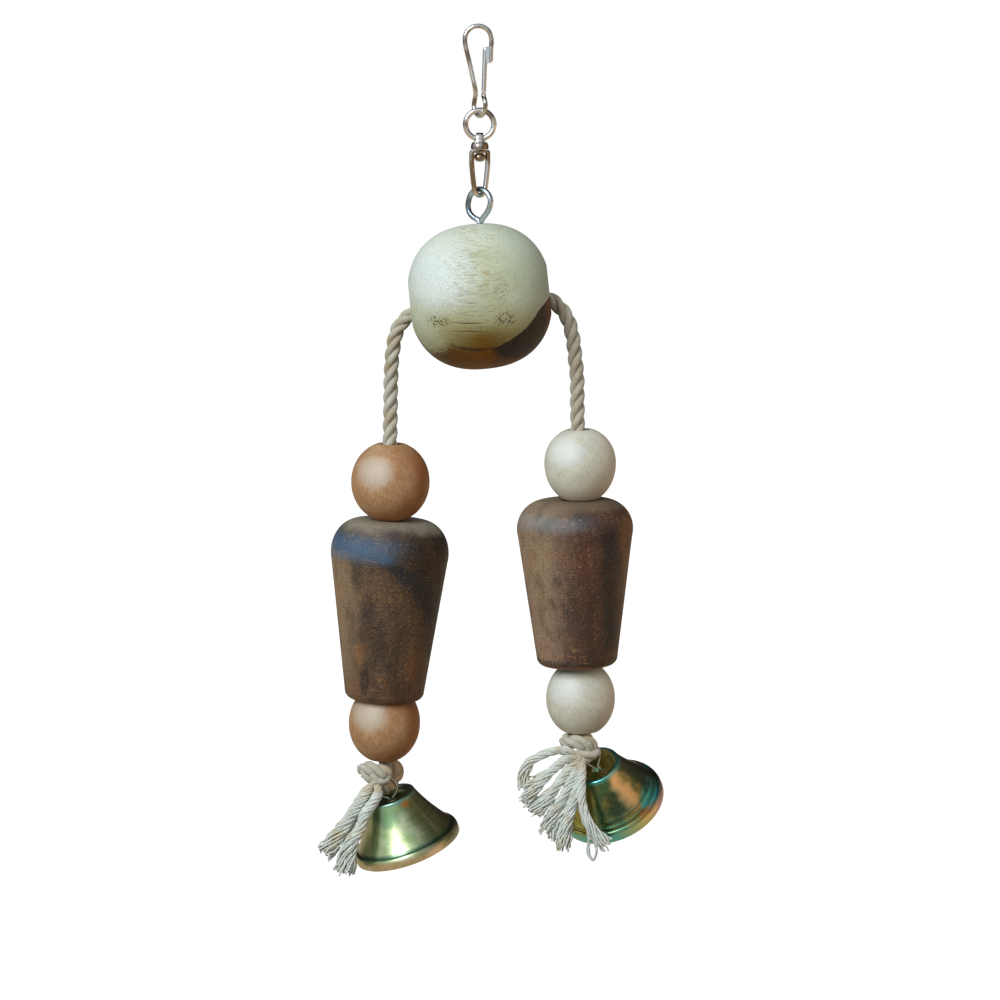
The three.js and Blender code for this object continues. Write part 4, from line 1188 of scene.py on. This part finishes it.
def bell_profile():
    def flare(inset):
        top, widening = dish_depth - crown_edge - inset, lip_radius - crown_radius
        return [(crown_radius + widening * (bell_flare * t + (1 - bell_flare) * t * t) - inset,
                 top + (lip_top - top) * t) for t in np.linspace(1, 0, 25)]

    def lip(inset):
        rise = lip_height - lip_band - inset / 2
        return [(lip_radius + lip_step * x - inset, lip_foot + lip_band + rise * z)
                for x, z in arc(1, range(0, 81, 10))]

    rim_steps = ((0.05, 0.45), (0.24, 0.2), (0.5, 0.05), (0.8, 0), (1.3, 0.1), (2.0, 0.5))
    rim = [(crown_radius - inward, dish_depth - down) for inward, down in rim_steps]
    dish = [(dish_radius, dish_depth - 0.9), (dish_radius, 0.8), (dish_radius - 0.3, 0.25),
            (dish_radius - 0.8, 0), (bell_hole, 0)]
    inside = [(bell_mouth - bell_wall, lip_foot), *lip(bell_wall), *flare(bell_wall)[:-3],
              (dish_radius - 0.8, -bell_wall), (bell_hole, -bell_wall)]
    return [(bell_mouth, lip_foot), *lip(0), *flare(0), *rim, *dish, *reversed(inside)]


def bell_start(name, seed):
    """Spun brass: its shader, share round to the right, height, dish, spinning rings, patches and freckles."""
    finish = Finish(name, Metallic=1.0, Coat_Weight=0.7, Coat_Roughness=0.19)
    at = finish.attribute("own")
    x, y, z = finish.split(at)
    radius = finish.length(finish.vector("MULTIPLY", at, (1, 1, 0)))
    rings = finish.add("ShaderNodeCombineXYZ", {0: radius * 2.6, 1: z * 2.6, 2: seed})
    groove = finish.add("ShaderNodeTexNoise", {"Vector": rings, "Scale": 1.0, "Detail": 3.0}, "Fac")
    patch = finish.cloud(at, 8.0, detail=4.0, seed=seed)
    freckle = finish.cloud(at, 0.7, detail=2.0, seed=seed + 5)
    dish = radius.rise(crown_radius - 1.0, crown_radius - 2.2) * z.rise(-0.6, 0.0)
    return finish, x / radius, z, dish, groove, patch, freckle


def gold_bell():
    finish, aside, z, dish, groove, patch, freckle = bell_start("bell_gold", 2.0)
    drift, level = aside + 0.5 * (patch - 0.5), z + 5 * (patch - 0.5)
    lip_hue = finish.mix(patch.rise(0.4, 0.6), "cfc7ae", "b3ac84")
    colour = finish.over(
        finish.mix(patch.rise(0.35, 0.65), "b7c29a", "8fa670"),
        # Painted dark reflection on the right side, broken up along the spinning rings.
        (0.75 * drift.rise(0.1, 0.8), "7c7f50"),
        (0.45 * drift.rise(0.1, 0.7) * groove.rise(0.45, 0.65), "1f3529"),
        (0.15 * groove.rise(0.5, 0.72), "55683f"),
        # Painted teal reflection.
        (0.45 * oval(drift, level, (-0.3, -2.0), (0.7, 5.0)), "2f7763"),
        (0.75 * oval(aside, z, (0.5, 0.2), (0.2, 1.8)), "c98a2c"),
        (0.4 * freckle.rise(0.6, 0.75), "5a5a34"),
        (0.85 * z.bump(lip_top + 0.2, 1.3), "1d5541"),
        (0.9 * z.rise(lip_top - 0.6, lip_top - 1.8), lip_hue),
        # Painted teal-white highlight on the crown's rim.
        (0.7 * z.rise(0.4, 1.6), "7fb5aa"),
        (0.85 * dish, "5a6340"),
    )
    rough = 0.2 + 0.12 * patch + 0.1 * groove
    return finish.show(relief=groove + 0.3 * freckle, depth=0.02, Base_Color=colour, Roughness=rough)


def bronze_bell():
    finish, aside, z, dish, groove, patch, freckle = bell_start("bell_bronze", 7.0)
    drift, level = aside + 0.6 * (patch - 0.5), z + 6 * (patch - 0.5)
    steps = ((z - lip_top) * 2.6).math("SINE") * z.bump(lip_top + 1.6, 3.4)
    # The lip's teal, yellow-green and pink are partly iridescent tarnish and partly painted highlight.
    lip_hue = finish.mix(drift.rise(-0.15, 0.5), "58c8c4", "d6d48c")
    lip_hue = finish.mix(drift.rise(0.5, 0.85), lip_hue, "d8aeb0")
    colour = finish.over(
        finish.mix(patch.rise(0.38, 0.62), "7f8348", "3d6a49"),
        # Painted reflection: yellow-olive on the left side, towards the light.
        (0.7 * drift.rise(-0.25, -0.8), "a7a548"),
        (0.9 * oval(drift, level, (0.12, -8), (0.36, 7), 0.1), "163f2c"),
        # Painted highlight: a pale copper streak.
        (0.85 * drift.bump(0.56, 0.3) * level.rise(-16, -10), "ffdca8"),
        # Painted dark reflection on the far right.
        (0.8 * drift.rise(0.7, 0.95), "234430"),
        # Painted cyan highlight on the right.
        (0.9 * oval(drift, level, (0.84, -15.0), (0.22, 4.5)), "37c9cf"),
        (0.75 * oval(drift, z, (0.6, -16.6), (0.3, 1.6)), "bd7a38"),
        (0.55 * steps.rise(0.2, 0.9), "1d4436"),
        (0.35 * freckle.rise(0.5, 0.75), "b39a62"),
        (0.85 * z.rise(lip_top - 0.4, lip_top - 1.6), lip_hue),
        # Painted teal highlight on the crown's rim.
        (0.7 * z.rise(0.4, 1.6), "4fb0b6"),
        (0.85 * dish, "b0b274"),
    )
    rough = 0.18 + 0.12 * patch + 0.08 * groove
    relief = 0.4 * groove + 0.3 * freckle + 2.5 * steps
    return finish.show(relief=relief, depth=0.05, Base_Color=colour, Roughness=rough)


bell_finish = {"left": ("bell_gold", gold_bell()), "right": ("bell_bronze", bronze_bell())}
for side, (slot, finish) in bell_finish.items():
    hang = hangs[side]
    place = hang["place"] @ Matrix.Translation((0, 0, hang["floor"])) @ about("X", hang["tip"])
    bell = own_marks(turned(f"{side}_bell_spun", bell_profile(), 128, place, finish, 40, closed=True), place)
    join(bell, f"{side}_bell", slot, f"{side}_bell")

# Clappers: a steel bob on a short wire, hooked over the small loop of the bell's hanger so that it
# hangs plumb and strikes the lip.
clapper_drop = 11.0
clapper_loop = 1.6
bob_radius = 3.4
steel = nickel("clapper_steel", "8f9091", "6a6764", 0.3)
for side, hang in hangs.items():
    eye_z = hang["floor"] - hanger_tail + hanger_wire + fit
    place = hang["place"] @ Matrix.Translation((0, 0, eye_z)) @ about("Y", hang["lean"])
    loop_turns = arc(clapper_loop, all_round, (-clapper_loop, 0))
    loop = placed(place, [(0, y, z) for z, y in loop_turns])
    eye = wire(f"{side}_clapper_eye", loop, hanger_wire, steel, sides=12, closed=True)
    rod_line = placed(place, [(0, 0, z) for z in np.linspace(-2 * clapper_loop, -clapper_drop, 12)])
    rod = wire(f"{side}_clapper_rod", rod_line, hanger_wire, steel, sides=12)
    bob_profile = arc(bob_radius, range(-90, 91, 6), (0, -clapper_drop))
    bob_profile[0], bob_profile[-1] = (0, -bob_radius - clapper_drop), (0, bob_radius - clapper_drop)
    bob = turned(f"{side}_clapper_bob", bob_profile, 40, place, steel)
    clapper = merged(f"{side}_clapper_made", [fuse(bob, rod), eye])
    join(clapper, f"{side}_clapper", "clapper_steel", f"{side}_clapper")
